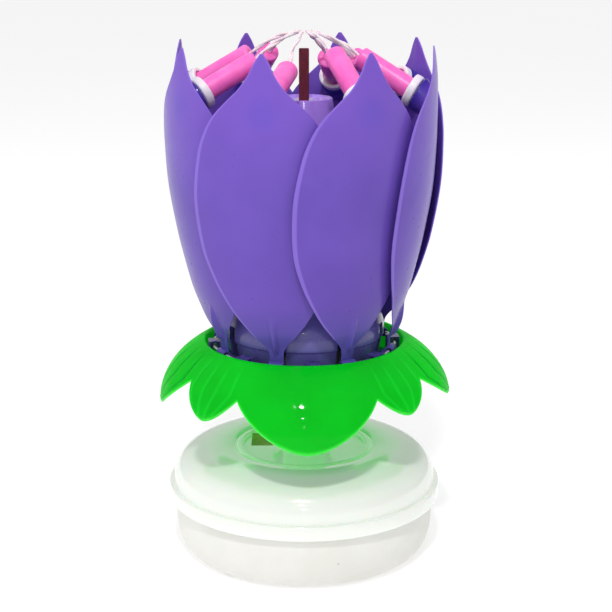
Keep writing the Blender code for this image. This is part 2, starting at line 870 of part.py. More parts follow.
def opening_spring():
    low = carrier_bottom + carrier_wall + gap + spring_wire_radius
    high = ring_low - gap - spring_wire_radius
    count = spring_turns * spring_points_per_turn
    route = []
    for index in range(count + 1):
        angle = 2 * math.pi * index / spring_points_per_turn
        route.append((*polar(spring_radius, angle), between(low, high, index / count)))
    turn_gap = (high - low) / spring_turns - 2 * spring_wire_radius
    print(f"opening_spring: least gap between turns {turn_gap / MM:.2f} mm")
    return keep(tube("opening_spring", route, spring_wire_radius, 1), "opening_spring", spring_steel)


# Central tower and fuse


def central_tower():
    dish = tower_top - tower_rim_depth
    profile = [(0, dish), (tower_top_radius - tower_rim_width, dish)]
    profile += [(tower_top_radius - tower_rim_width / 2, tower_top), (tower_top_radius, tower_top)]
    for down, spread in bell_shares[1:]:
        radius = between(tower_top_radius, tower_neck_radius, spread)
        profile.append((radius, tower_top - tower_bell_height * down))
    profile.append((tower_neck_radius, tower_neck_height))
    for down, out in bowl_upper_shares:
        radius = between(tower_neck_radius, tower_bowl_radius, out)
        profile.append((radius, tower_neck_height - tower_bowl_height * down))
    for down, out in bowl_lower_shares:
        radius = between(tower_foot_radius, tower_bowl_radius, out)
        profile.append((radius, tower_neck_height - tower_bowl_height * down))
    profile.append((tower_foot_radius, tower_foot))
    tower = turned("central_tower", profile, middle_steps)
    wall = tower.modifiers.new("wall", "SOLIDIFY")
    wall.thickness = tower_wall
    wall.offset = -1
    wall.use_even_offset = True
    tower = settled(tower)
    cuts = []
    for angle in petal_angles:
        slot = box(
            "slot",
            (slot_inner_radius, -slot_width / 2, tower_foot - overrun),
            (tower_bowl_radius + overrun, slot_width / 2, slot_top),
        )
        cuts.append(placed(slot, Matrix.Rotation(angle, 4, "Z")))
    cuts.append(
        box(
            "fuse_slot",
            (-fuse_width / 2 - gap, fuse_y - fuse_thickness / 2 - gap, fuse_foot),
            (fuse_width / 2 + gap, fuse_y + fuse_thickness / 2 + gap, tower_top + overrun),
        )
    )
    return keep(cut(tower, *cuts), "central_tower", tower_plastic)


def fuse():
    stick = box(
        "fuse",
        (-fuse_width / 2, fuse_y - fuse_thickness / 2, fuse_foot),
        (fuse_width / 2, fuse_y + fuse_thickness / 2, fuse_top),
    )
    return keep(stick, "fuse", fuse_paper)


# Calyx


def lobe_length(angle):
    """Length of the skirt at an angle from the front lobe's middle, as a share of a full lobe."""
    lobe = round(angle / (math.pi / 4)) % 8
    offset = abs((angle - lobe * math.pi / 4 + math.pi) % (2 * math.pi) - math.pi)
    half, power = big_lobe_half_angle, big_lobe_power
    if lobe % 2:
        half, power = small_lobe_half_angle, small_lobe_power
        if offset > half:
            lobe = round(angle / (math.pi / 2)) * 2 % 8
            offset = abs((angle - lobe * math.pi / 4 + math.pi) % (2 * math.pi) - math.pi)
            half, power = big_lobe_half_angle, big_lobe_power
    full = lobe_length_shares[lobe]
    return between(full, notch_share, min(offset / half, 1.0) ** power), lobe % 2 == 1


def skirt_point(share, small):
    """(radius, height) on the skirt's upper face, the given share of a lobe's length below the rim."""
    spread = math.sin(math.pi / 2 * min(share, 1.0)) ** skirt_spread_power
    radius = calyx_rim_radius + skirt_reach * spread
    if small and share > lobe_curl_share:
        radius -= lobe_curl * (share - lobe_curl_share) ** 2
    return radius, calyx_rim_height - skirt_drop * share**skirt_power


def calyx_section(angle):
    """The calyx's closed outline at one angle, up the skirt, over the rim into the cup and back."""
    length, small = lobe_length(angle)
    shares = [length * row / skirt_rows for row in range(skirt_rows, 0, -1)]
    upper = [skirt_point(share, small) for share in shares]
    crown = [(calyx_rim_radius, calyx_rim_height), (calyx_cup_radius, calyx_rim_height)]
    floor = flange_top - carrier_wall - gap
    cup = [(calyx_cup_radius, floor), (calyx_hole_radius, floor)]
    cup += [(calyx_hole_radius, floor - calyx_wall), (calyx_cup_radius + calyx_wall, floor - calyx_wall)]
    cup += [(calyx_cup_radius + calyx_wall, calyx_rim_height - 2 * calyx_wall)]
    lower = []
    for share in reversed(shares):
        middle = Vector(skirt_point(share, small))
        along = (Vector(skirt_point(share * (1 + slope_share), small)) - middle).normalized()
        lower.append(tuple(middle + Vector((along.y, -along.x)) * calyx_wall))
    return upper + crown + cup + lower


def calyx():
    minor = len(calyx_section(0))
    bpy.ops.mesh.primitive_torus_add(
        major_segments=calyx_steps,
        minor_segments=minor,
        major_radius=calyx_rim_radius,
        minor_radius=calyx_wall,
    )
    obj = bpy.context.object
    for index in range(calyx_steps):
        turn = 2 * math.pi * index / calyx_steps
        for place, (radius, height) in enumerate(calyx_section(turn)):
            angle = turn - math.pi / 2 + calyx_turn
            obj.data.vertices[index * minor + place].co = (*polar(radius, angle), height)
    return keep(obj, "calyx", leaf_plastic)


# Petals, with their cups, candles and wicks


def petal_profile(height):
    """(half width, outer radius) of the petal at a height, as its rows give them."""
    share = min(max((height - hinge_height) / petal_height, 0.0), 1.0)
    for low, high in zip(petal_row_shares, petal_row_shares[1:]):
        if share <= high[0]:
            mix = (share - low[0]) / (high[0] - low[0])
            width, radius = between(low[1], high[1], mix), between(low[2], high[2], mix)
            return petal_half_width * width, petal_radius * radius
    return petal_half_width * petal_row_shares[-1][1], petal_radius * petal_row_shares[-1][2]


def petal_blade():
    """The petal's thin leaf in its hinge's frame, X out and Z up. Its left edge laps over the next."""
    mesh = bpy.data.meshes.new("petal")
    shape = bmesh.new()
    rows = len(petal_row_shares)
    bmesh.ops.create_grid(shape, x_segments=petal_columns, y_segments=rows - 1, size=1.0)
    for vertex in shape.verts:
        across = vertex.co.x
        row = round((vertex.co.y + 1) / 2 * (rows - 1))
        up, width, out = petal_row_shares[row]
        radius = petal_radius * out
        angle = across * petal_half_width * width / radius
        radius -= petal_lap_step * angle / petal_pitch
        x, y = polar(radius, angle)
        vertex.co = (x - hinge_radius, y, petal_height * up)
    shape.to_mesh(mesh)
    shape.free()
    blade = helper("petal", mesh)
    wall = blade.modifiers.new("wall", "SOLIDIFY")
    wall.thickness = petal_wall
    wall.offset = -1
    return settled(blade)


def candle_base():
    """Where the candle's line meets the petal's inner face, in the hinge's frame."""
    radius = petal_profile(socket_height)[1] - petal_wall
    return Vector((radius - hinge_radius, 0, socket_height - hinge_height))


def candle_frame(along):
    """Turns a piece made along +Z into the candle's line, that far from the petal's inner face."""
    turn = candle_axis.to_track_quat("Z", "Y").to_matrix().to_4x4()
    return Matrix.Translation(candle_base() + candle_axis * along) @ turn


def socket():
    """A round boss whose foot follows the middle of the petal's wall."""
    boss = cylinder("socket", socket_radius, 0, socket_length, steps=small_steps)
    boss = placed(boss, candle_frame(0))
    base = candle_base()
    for vertex in boss.data.vertices:
        if (vertex.co - base).dot(candle_axis) > socket_length / 2:
            continue
        start = vertex.co.copy()
        near, far = -socket_radius * 2, socket_length / 2
        for _ in range(30):
            middle = (near + far) / 2
            point = start + candle_axis * middle
            radius = math.hypot(point.x + hinge_radius, point.y)
            angle = math.atan2(point.y, point.x + hinge_radius)
            wall = petal_profile(point.z + hinge_height)[1] - petal_wall / 2
            wall -= petal_lap_step * angle / petal_pitch
            near, far = (middle, far) if radius > wall else (near, middle)
        vertex.co = start + candle_axis * near
    return boss


def fin():
    """The upright rib on the outside of the stem."""
    outer, inner = [], []
    for along, rise in fin_shares:
        height = fin_foot_height + fin_length * along
        face = petal_profile(height)[1] - hinge_radius
        outer.append((face + fin_rise * rise, height - hinge_height))
        inner.append((face - petal_wall / 2, height - hinge_height))
    outline = outer + inner[::-1]
    return placed(plate("fin", outline, fin_width), Matrix.Rotation(math.pi / 2, 4, "X"))


def heel():
    """The inward arm that the lift ring pushes up."""
    back = Vector((-math.cos(heel_drop), -math.sin(heel_drop)))
    side = Vector((-back.y, back.x))
    tip = back * heel_length
    outline = [side * heel_thickness / 2, -side * heel_thickness / 2]
    for index in range(5):
        angle = math.pi * (index / 4 - 0.5)
        outline.append(tip + (back * math.cos(angle) + side * math.sin(angle)) * heel_tip_radius)
    return placed(plate("heel", outline, heel_width), Matrix.Rotation(math.pi / 2, 4, "X"))


def cross_bar(name, radius, length):
    return placed(cylinder(name, radius, -length / 2, length / 2), Matrix.Rotation(math.pi / 2, 4, "X"))


def petal():
    blade = petal_blade()
    blade = joined(blade, cross_bar("barrel", barrel_radius, barrel_length), heel(), fin(), socket())
    bore_foot = socket_length - socket_bore_depth
    bore = cylinder("bore", socket_bore_radius, bore_foot, socket_length + overrun)
    return cut(
        blade,
        placed(bore, candle_frame(0)),
        cross_bar("wire_bore", wire_radius + gap, barrel_length + 2 * overrun),
    )


def drip_cup():
    recess = candle_radius + gap
    profile = [(0, cup_bottom), (recess, cup_bottom), (recess, cup_height)]
    profile += [(cup_radius - cup_round, cup_height), (cup_radius, cup_height - cup_round)]
    profile += [(cup_radius, gap), (socket_bore_radius - gap, gap)]
    profile += [(socket_bore_radius - gap, -spigot_length), (0, -spigot_length)]
    return placed(turned("drip_cup", profile, small_steps), candle_frame(socket_length))


def candle():
    low = cup_bottom + gap
    high = low + candle_length
    profile = [(0, high), (candle_radius - candle_chamfer, high), (candle_radius, high - candle_chamfer)]
    profile += [(candle_radius, low), (0, low)]
    return placed(turned("candle", profile, small_steps), candle_frame(socket_length))


def wick():
    """A short strand from the candle's end to the flower's middle, bowed upward."""
    reach = socket_length + cup_bottom + gap + candle_length + gap
    start = candle_base() + candle_axis * reach
    end = Vector((wick_end_radius - hinge_radius, 0, wick_end_height - hinge_height))
    route = []
    for index in range(wick_points):
        share = index / (wick_points - 1)
        bow = wick_bow * math.sin(math.pi * share)
        route.append(start.lerp(end, share) + Vector((0, 0, bow)))
    return tube("wick", route, wick_radius, 1)


def flower():
    pieces = (
        ("petal", petal(), petal_plastic),
        ("drip_cup", drip_cup(), cup_plastic),
        ("candle", candle(), candle_wax),
        ("wick", wick(), wick_cotton),
    )
    for index, angle in enumerate(petal_angles, 1):
        hinge = bpy.data.objects.new(f"petal_{index}_hinge", None)
        hinge.location = (*polar(hinge_radius, angle), hinge_height)
        hinge.rotation_euler = (0, 0, angle)
        parts.objects.link(hinge)
        for name, model, finish in pieces:
            copy = bpy.data.objects.new(name, model.data.copy())
            parts.objects.link(copy)
            copy.parent = hinge
            keep(copy, f"{name}_{index}", finish)
    for _, model, _ in pieces:
        bpy.data.objects.remove(model, do_unlink=True)


base_drum()
base_lid()
lid_screws()
spindle()
spindle_gear()
idler_gear()
idler_pin()
motor()
motor_pinion()
buzzer()
circuit_board()
cells_and_contacts()
petal_carrier()
hinge_wire()
lift_ring()
opening_spring()
central_tower()
fuse()
calyx()
flower()
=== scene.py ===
"""Musical birthday candle: a lotus flower that opens and turns on a round white base."""

import json
import math

import bpy
from mathutils import Matrix, Vector, noise


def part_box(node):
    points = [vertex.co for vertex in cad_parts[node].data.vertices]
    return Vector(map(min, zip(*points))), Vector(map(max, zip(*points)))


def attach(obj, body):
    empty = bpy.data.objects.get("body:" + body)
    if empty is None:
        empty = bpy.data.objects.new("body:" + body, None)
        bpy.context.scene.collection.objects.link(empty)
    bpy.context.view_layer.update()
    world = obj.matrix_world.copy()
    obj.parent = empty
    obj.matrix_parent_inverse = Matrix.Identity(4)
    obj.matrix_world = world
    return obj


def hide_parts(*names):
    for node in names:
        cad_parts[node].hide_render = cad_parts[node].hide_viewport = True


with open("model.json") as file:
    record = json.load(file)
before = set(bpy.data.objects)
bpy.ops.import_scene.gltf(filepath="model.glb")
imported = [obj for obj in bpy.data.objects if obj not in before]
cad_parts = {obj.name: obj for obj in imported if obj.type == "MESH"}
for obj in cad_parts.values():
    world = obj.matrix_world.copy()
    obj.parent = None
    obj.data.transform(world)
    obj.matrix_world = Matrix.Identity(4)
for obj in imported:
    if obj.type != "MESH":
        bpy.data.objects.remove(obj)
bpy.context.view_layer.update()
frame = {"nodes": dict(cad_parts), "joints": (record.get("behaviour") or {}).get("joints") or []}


# Base drum: the round white cup that stands on the table and holds the works.
# It is moulded in matt white plastic with a soft lower edge, and three screws sink into its underside.

MM = 0.001
weld = MM / 1000
overrun = MM
smooth_angle = math.radians(40)


def rounded(corners, count=6):
    """A run of (x, y) points whose corners, given as (x, y, rounding), are taken off by curves."""
    points = []
    longest_share = 0.45
    for index, (x, y, rounding) in enumerate(corners):
        corner = Vector((x, y))
        if not rounding:
            points.append(corner)
            continue
        before = Vector(corners[index - 1][:2])
        after = Vector(corners[(index + 1) % len(corners)][:2])
        reach = min(rounding, *[(place - corner).length * longest_share for place in (before, after)])
        start = corner + (before - corner).normalized() * reach
        end = corner + (after - corner).normalized() * reach
        for step in range(count + 1):
            share = step / count
            points.append(start.lerp(corner, share).lerp(corner.lerp(end, share), share))
    return [tuple(point) for point in points]


def closed_up(obj):
    """Merges what lies together, points the faces out and smooths all but the sharp edges."""
    bpy.context.view_layer.objects.active = obj
    bpy.ops.object.mode_set(mode="EDIT")
    bpy.ops.mesh.select_all(action="SELECT")
    bpy.ops.mesh.remove_doubles(threshold=weld)
    bpy.ops.mesh.normals_make_consistent(inside=False)
    bpy.ops.object.mode_set(mode="OBJECT")
    bpy.ops.object.select_all(action="DESELECT")
    obj.select_set(True)
    bpy.ops.object.shade_smooth_by_angle(angle=smooth_angle)
    return obj


def turned(name, outline, steps=96, closed=False):
    """Extrudes one vertex along a run of (radius, height) points and spins the run about Z."""
    bpy.ops.object.select_all(action="DESELECT")
    bpy.ops.mesh.primitive_plane_add(size=MM)
    obj = bpy.context.object
    obj.name = name
    bpy.ops.object.mode_set(mode="EDIT")
    bpy.ops.mesh.merge(type="CENTER")
    run = list(outline) + ([outline[0]] if closed else [])
    bpy.ops.transform.translate(value=(run[0][0], 0, run[0][1]))
    for (radius, height), (next_radius, next_height) in zip(run, run[1:]):
        step = (next_radius - radius, 0, next_height - height)
        bpy.ops.mesh.extrude_vertices_move(TRANSFORM_OT_translate={"value": step})
    bpy.ops.mesh.select_all(action="SELECT")
    bpy.ops.mesh.spin(steps=steps, angle=2 * math.pi, center=(0, 0, 0), axis=(0, 0, 1))
    bpy.ops.object.mode_set(mode="OBJECT")
    return closed_up(obj)


def applied(obj, kind, **settings):
    """Adds a modifier, sets it and applies it."""
    modifier = obj.modifiers.new(kind.lower(), kind)
    for setting, value in settings.items():
        setattr(modifier, setting, value)
    bpy.context.view_layer.objects.active = obj
    bpy.ops.object.modifier_apply(modifier=modifier.name)
    return obj


def cut(obj, *tools, operation="DIFFERENCE"):
    """Cuts the tools from a piece, or joins them to it, and removes them."""
    for tool in tools:
        applied(obj, "BOOLEAN", operation=operation, object=tool, solver="EXACT")
        bpy.data.objects.remove(tool)
    return obj


def rod(radius, low, high, x=0.0, y=0.0, sides=32):
    """A plain round tool for a hole or a boss."""
    bpy.ops.object.select_all(action="DESELECT")
    bpy.ops.mesh.primitive_cylinder_add(
        vertices=sides, radius=radius, depth=high - low, location=(x, y, (low + high) / 2)
    )
    bpy.ops.object.transform_apply(location=True, rotation=True, scale=True)
    return bpy.context.object


class Value:
    """A shader socket. Arithmetic on it adds the Math nodes that work the sum out."""

    def __init__(self, tree, socket=None):
        self.tree = tree
        self.socket = socket

    def node(self, kind, settings=(), inputs=(), output=0):
        """Adds a node, makes its settings, fills or links its sockets and returns one of its outputs."""
        made = self.tree.nodes.new(kind)
        for name, value in dict(settings).items():
            setattr(made, name, value)
        for name, value in dict(inputs).items():
            if isinstance(value, Value):
                self.tree.links.new(value.socket, made.inputs[name])
            else:
                made.inputs[name].default_value = value
        return Value(self.tree, made.outputs[output])

    def maths(self, operation, *operands):
        return self.node("ShaderNodeMath", {"operation": operation}, enumerate(operands))

    def __add__(self, other):
        return self.maths("ADD", self, other)

    def __sub__(self, other):
        return self.maths("SUBTRACT", self, other)

    def __rsub__(self, other):
        return self.maths("SUBTRACT", other, self)

    def __mul__(self, other):
        return self.maths("MULTIPLY", self, other)

    __radd__ = __add__
    __rmul__ = __mul__

    def between(self, low, high):
        """0 up to low, 1 from high on, and a soft step between."""
        settings = {"interpolation_type": "SMOOTHSTEP"}
        return self.node("ShaderNodeMapRange", settings, {"Value": self, "From Min": low, "From Max": high})

    def mix(self, first, second):
        """The first colour where this is 0 and the second where it is 1."""
        return self.node("ShaderNodeMix", {"data_type": "RGBA"}, {0: self, 6: first, 7: second}, 2)

    def place(self):
        """The object's own coordinates."""
        return self.node("ShaderNodeTexCoord", output=3)

    def reach(self):
        """Distance from the object's origin."""
        return self.node("ShaderNodeVectorMath", {"operation": "LENGTH"}, {0: self.place()}, 1)

    def noise(self, scale, detail=3.0, roughness=0.5):
        """Noise on the object's own coordinates, in grains a metre."""
        inputs = {"Vector": self.place(), "Scale": scale, "Detail": detail, "Roughness": roughness}
        return self.node("ShaderNodeTexNoise", inputs=inputs)

    def specks(self, scale, size):
        """1 inside small round specks that lie scattered over the object, 0 elsewhere."""
        cells = self.node("ShaderNodeTexVoronoi", inputs={"Vector": self.place(), "Scale": scale})
        return 1 - cells.between(size / 2, size)

    def attribute(self, name):
        return self.node("ShaderNodeAttribute", {"attribute_name": name}, output=2)

    def bump(self, height, distance):
        return self.node("ShaderNodeBump", inputs={"Height": height, "Distance": distance, "Strength": 1.0})


def tint(red, green, blue):
    """A colour as it looks on a screen, 0 to 255, as the shader's linear colour."""
    linear = [(part / 255 + 0.055) / 1.055 for part in (red, green, blue)]
    return (*[max(part, 0.0) ** 2.4 for part in linear], 1.0)


def finish(name, **sockets):
    """A material, and the value to write its pattern with. Fixed numbers go on the shader's own sockets."""
    made = bpy.data.materials.new(name)
    made.use_nodes = True
    shader = made.node_tree.nodes["Principled BSDF"]
    for socket, value in sockets.items():
        shader.inputs[socket.replace("_", " ")].default_value = value
    return made, Value(made.node_tree)


def wire(made, **sockets):
    """Links the worked-out sockets of a material's shader."""
    shader = made.node_tree.nodes["Principled BSDF"]
    for socket, value in sockets.items():
        made.node_tree.links.new(value.socket, shader.inputs[socket.replace("_", " ")])
    return made


def dressed(obj, made, body, slot, *nodes):
    """Gives a new piece its material and body, and hides the nodes it stands for. The slot argument is not
    used.
    """
    obj.data.materials.clear()
    obj.data.materials.append(made)
    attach(obj, body)
    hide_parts(*nodes)
    return obj


def painted(made, *nodes):
    """Gives CAD nodes a material."""
    for name in nodes:
        mesh = frame["nodes"][name].data
        mesh.materials.clear()
        mesh.materials.append(made)


drum_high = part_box("base_drum")[1]
drum_radius = drum_high.x
drum_wall = 1.8 * MM
drum_curve = 11.0 * MM
drum_curve_steps = 16
drum_sole = 27.6 * MM
drum_steps = 128
screw_well = 2.4 * MM
screw_well_depth = 3.0 * MM


def drum_side_run(inset):
    """Points up the drum's side from its flat sole, on a skin that far inside the outer one."""
    sole = Vector((drum_sole - inset, inset))
    corner = Vector((drum_radius - inset, inset))
    side = Vector((drum_radius - inset, drum_curve))
    points = []
    for step in range(drum_curve_steps + 1):
        share = step / drum_curve_steps
        points.append((*sole.lerp(corner, share).lerp(corner.lerp(side, share), share), 0))
    return points


drum = turned(
    "base_drum_shell",
    rounded(
        [
            (0, drum_wall, 0),
            *drum_side_run(drum_wall),
            (drum_radius - drum_wall, drum_high.z, drum_wall / 4),
            (drum_radius, drum_high.z, drum_wall / 4),
            *reversed(drum_side_run(0)),
            (0, 0, 0),
        ]
    ),
    drum_steps,
)
for index in (1, 2, 3):
    screw_low, screw_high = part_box(f"lid_screw_{index}")
    place = (screw_low + screw_high) / 2
    cut(drum, rod(screw_well, -overrun, screw_well_depth, place.x, place.y))
closed_up(drum)

drum_white, look = finish(
    "matt_white",
    Roughness=0.5,
    Subsurface_Weight=0.12,
    Subsurface_Radius=(1, 0.9, 0.8),
    Subsurface_Scale=2 * MM,
)
mottle = look.noise(90).between(0.35, 0.7)
clean = mottle.mix(tint(235, 234, 229), tint(229, 228, 222))
grime = look.specks(150, 0.05) * look.noise(60, 1).between(0.5, 0.62)
wire(
    drum_white,
    Base_Color=(grime * 0.6).mix(clean, tint(150, 140, 125)),
    Roughness=look.noise(1500, 2) * 0.16 + 0.44,
    Normal=look.bump(look.noise(1800, 2), 0.03 * MM),
)
dressed(drum, drum_white, "base", "drum_plastic", "base_drum")


# Lid screws: zinc plated, driven up through the drum into the lid.
# The frame's own solids are right, and only take the metal.

zinc, look = finish("zinc_plate", Metallic=1.0)
streaks = look.noise(2500, 2)
wire(zinc, Base_Color=streaks.mix(tint(205, 206, 208), tint(170, 172, 176)), Roughness=streaks * 0.25 + 0.25)
painted(zinc, "lid_screw_1", "lid_screw_2", "lid_screw_3")


# Works inside the base: motor, gears, cells, contacts, buzzer and board.
# Only the board shows, through the lid's window. It is paper laminate with its parts underneath, painted far
# paler than its own brown as painted light for the shade it lies in.

motor_can, look = finish("motor_can", Metallic=1.0)
brushed = look.noise(900, 4, 0.7)
wire(
    motor_can,
    Base_Color=brushed.mix(tint(200, 200, 202), tint(160, 161, 165)),
    Roughness=brushed * 0.2 + 0.3,
)
painted(motor_can, "motor", "idler_pin", "button_cell_1", "button_cell_2", "button_cell_3")

brass, look = finish("contact_brass", Metallic=1.0)
tarnish = look.noise(400, 3)
wire(brass, Base_Color=tarnish.mix(tint(214, 186, 120), tint(176, 140, 82)), Roughness=tarnish * 0.3 + 0.2)
painted(brass, "cell_contact_lower", "cell_contact_upper")

laminate, look = finish("board_laminate", Roughness=0.45)
fibres = look.noise(700, 6, 0.7).between(0.3, 0.7)
# Painted light: the board is far paler than brown laminate, to make up for the shade under the lid.
wire(laminate, Base_Color=fibres.mix(tint(255, 226, 166), tint(236, 196, 136)), Roughness=fibres * 0.2 + 0.35)
painted(laminate, "circuit_board")

black_case, look = finish("black_case", Roughness=0.5)
grain = look.noise(3000, 2)
wire(black_case, Base_Color=grain.mix(tint(24, 24, 26), tint(36, 36, 38)), Roughness=grain * 0.2 + 0.4)
painted(black_case, "buzzer")

nylon, look = finish("white_nylon", Subsurface_Weight=0.2, Subsurface_Scale=2 * MM)
milky = look.noise(300, 3)
wire(nylon, Base_Color=milky.mix(tint(240, 240, 236), tint(226, 226, 220)), Roughness=milky * 0.15 + 0.35)
painted(nylon, "spindle_gear", "idler_gear", "motor_pinion")


# Base lid: a glossy white dome, with a rounded band that grips the drum and a fine bead round a recess.
# The recess has the spindle's boss in the middle and a window over the board to one side.
# The calyx over it passes green light, painted on the dome's top as a green glow. The rest inside the band
# has a faint painted grey glow that lifts its shade, and the band and outer dome are painted a little darker
# to hold back the light on them.

lid_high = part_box("base_lid")[1]
lid_wall = 1.6 * MM
band_radius = lid_high.x
band_low = 14.4 * MM
band_top = 18.1 * MM
band_step = 0.2 * MM
band_top_rounding = 0.9 * MM
band_foot_rounding = 1.8 * MM
band_lip_rounding = 0.2 * MM
dome_radius = 33.9 * MM
dome_top = 27.5 * MM
dome_flat = 19.0 * MM
dome_power = 0.73
dish_depth = 0.7 * MM
recess_radius = 16.2 * MM
recess_depth = 0.6 * MM
recess_rounding = 0.4 * MM
bead_width = 1.2 * MM
bead_rise = 0.5 * MM
bead_spread = 1.56 * MM
bead_inner_rounding = 0.35 * MM
bead_outer_rounding = 0.5 * MM
bead_foot_rounding = 0.3 * MM
boss_radius = 5.6 * MM
boss_rounding = 0.5 * MM
bore_radius = 2.8 * MM
bore_rounding = 0.3 * MM
window_width = 5.6 * MM
window_length = 10.8 * MM
window_place = (-11.0 * MM, 5.7 * MM)
drum_gap = 0.3 * MM
lid_steps = 144
dome_steps = 20


def block(size, middle):
    """A plain box."""
    bpy.ops.object.select_all(action="DESELECT")
    bpy.ops.mesh.primitive_cube_add(size=1)
    obj = bpy.context.object
    obj.data.transform(Matrix.Translation(middle) @ Matrix.Diagonal((*size, 1)))
    return obj


def dome(reach, rise, count):
    """Points down a squared quarter ellipse, from the flat top to the side."""
    points = []
    for step in range(count + 1):
        angle = math.pi / 2 * (1 - step / count)
        out = max(math.cos(angle), 0.0) ** dome_power
        up = max(math.sin(angle), 0.0) ** dome_power
        points.append((dome_flat + reach * out, band_top + rise * up, 0))
    return points


bead_foot = dome_top - dish_depth
recess_top = bead_foot - recess_depth
lid_run = [
    (bore_radius, lid_high.z, bore_rounding),
    (boss_radius, lid_high.z, boss_rounding),
    (boss_radius, recess_top, boss_rounding),
    (recess_radius, recess_top, recess_rounding),
    (recess_radius, bead_foot + bead_rise, bead_inner_rounding),
    (recess_radius + bead_width, bead_foot + bead_rise, bead_outer_rounding),
    (recess_radius + bead_spread, bead_foot, bead_foot_rounding),
    *dome(dome_radius - dome_flat, dome_top - band_top, dome_steps),
    (band_radius, band_top + band_step, band_top_rounding),
    (band_radius, band_low, band_foot_rounding),
    (drum_radius + drum_gap, band_low, band_lip_rounding),
    (drum_radius + drum_gap, drum_high.z + drum_gap, 0),
    (dome_radius - lid_wall, drum_high.z + drum_gap, 0),
    *reversed(dome(dome_radius - lid_wall - dome_flat, dome_top - lid_wall - band_top, dome_steps // 2)),
    (boss_radius, recess_top - lid_wall, 0),
    (boss_radius, recess_top - 3 * lid_wall, 0),
    (bore_radius, recess_top - 3 * lid_wall, 0),
]
lid = turned("base_lid_dome", rounded(lid_run), lid_steps, closed=True)
cut(lid, block((window_width, window_length, 6 * lid_wall), (*window_place, dome_top)))
closed_up(lid)

lid_white, look = finish(
    "gloss_white",
    Coat_Weight=1.0,
    Coat_Roughness=0.04,
    Subsurface_Weight=0.15,
    Subsurface_Scale=2 * MM,
    Emission_Strength=0.6,
)
haze = look.noise(70, 3).between(0.3, 0.75)
spread = look.reach()
# Painted light: a green glow on the dome's top and a faint grey glow out to the band. Painted shade: the
# outer dome and band a little darker.
painted_green_glow = 1 - spread.between(lid_high.z + bead_width, lid_high.z + 7 * bead_width)
outward = spread.between(lid_high.z + 5 * bead_width, lid_high.z + 8 * bead_width)
wire(
    lid_white,
    Base_Color=outward.mix(haze.mix(tint(248, 250, 246), tint(242, 245, 240)), tint(234, 238, 231)),
    Emission_Color=outward.mix(painted_green_glow.mix(tint(108, 112, 106), tint(24, 165, 28)), tint(0, 0, 0)),
    Roughness=haze * 0.06 + 0.1,
    Normal=look.bump(look.noise(120, 2), 0.04 * MM),
)
dressed(lid, lid_white, "base", "lid_plastic", "base_lid")


# Spindle, petal carrier and lift ring: the turning mechanism between the base and the flower.
# The spindle and ring are white, and the carrier is indigo, painted darker than the flower as shade where it
# shows between the petals.

painted(nylon, "spindle", "lift_ring")

indigo, look = finish(
    "indigo_plastic", Coat_Weight=0.4, Coat_Roughness=0.1, Subsurface_Weight=0.1, Subsurface_Scale=2 * MM
)
flow = look.noise(80, 3).between(0.3, 0.7)
# Painted shade: the carrier's indigo is darker than the flower's plastic, as shade where it shows between the
# petals.
wire(
    indigo,
    Base_Color=flow.mix(tint(66, 56, 132), tint(54, 46, 116)),
    Roughness=look.noise(900, 2) * 0.12 + 0.2,
    Normal=look.bump(look.noise(500, 2), 0.02 * MM),
)

hinges = [Vector(joint["pos_m"]) for joint in frame["joints"] if joint["name"].startswith("petal_")]
hinge_height = hinges[0].z
post_cover = 0.3 * MM
post_bore = 0.85 * MM
guide_reach = 10 * MM
carrier_edge = 0.15 * MM
sharp_angle = math.radians(50)


def placed(name, data):
    """A new object in the scene, made of the data it is given and the only one selected."""
    obj = bpy.data.objects.new(name, data)
    bpy.context.scene.collection.objects.link(obj)
    bpy.ops.object.select_all(action="DESELECT")
    obj.select_set(True)
    bpy.context.view_layer.objects.active = obj
    return obj


carrier = closed_up(placed("petal_carrier_moulding", frame["nodes"]["petal_carrier"].data.copy()))
for vertex in carrier.data.vertices:
    if vertex.co.to_2d().length > guide_reach:
        vertex.co.z = min(vertex.co.z, hinge_height + post_bore + post_cover)
applied(carrier, "BEVEL", width=carrier_edge, segments=2, limit_method="ANGLE", angle_limit=sharp_angle)
dressed(carrier, indigo, "head", "tower_plastic", "petal_carrier")


# Hinge wire and opening spring: bright drawn steel.
# The wire is one ring that runs straight through each petal's barrel and rounds the corners between.

petal_pitch = 2 * math.pi / len(hinges)
hinge_radius = hinges[0].to_2d().length
petal_angles = [math.atan2(place.y, place.x) for place in hinges]
wire_radius = 0.55 * MM
wire_straight = 2.2 * MM
wire_corner_points = 10


def tube(name, route, radius, cyclic=False, sides=3):
    """A smooth wire or strand along a run of points, as a mesh."""
    curve = bpy.data.curves.new(name, "CURVE")
    curve.dimensions = "3D"
    curve.bevel_depth = radius
    curve.bevel_resolution = sides
    curve.use_fill_caps = not cyclic
    line = curve.splines.new("POLY")
    line.points.add(len(route) - 1)
    for point, place in zip(line.points, route):
        point.co = (*place, 1)
    line.use_cyclic_u = cyclic
    placed(name, curve)
    bpy.ops.object.convert(target="MESH")
    return closed_up(bpy.context.object)


wire_run = []
corner_radius = (hinge_radius * math.tan(petal_pitch / 2) - wire_straight) / math.tan(petal_pitch / 2)
for angle in petal_angles:
    outward = Vector((math.cos(angle), math.sin(angle), 0))
    forward = Vector((-math.sin(angle), math.cos(angle), 0))
    middle = outward * hinge_radius + Vector((0, 0, hinge_height))
    wire_run.append(middle - forward * wire_straight)
    centre = middle + forward * wire_straight - outward * corner_radius
    for step in range(wire_corner_points):
        turn = angle + petal_pitch * step / wire_corner_points
        wire_run.append(centre + Vector((math.cos(turn), math.sin(turn), 0)) * corner_radius)

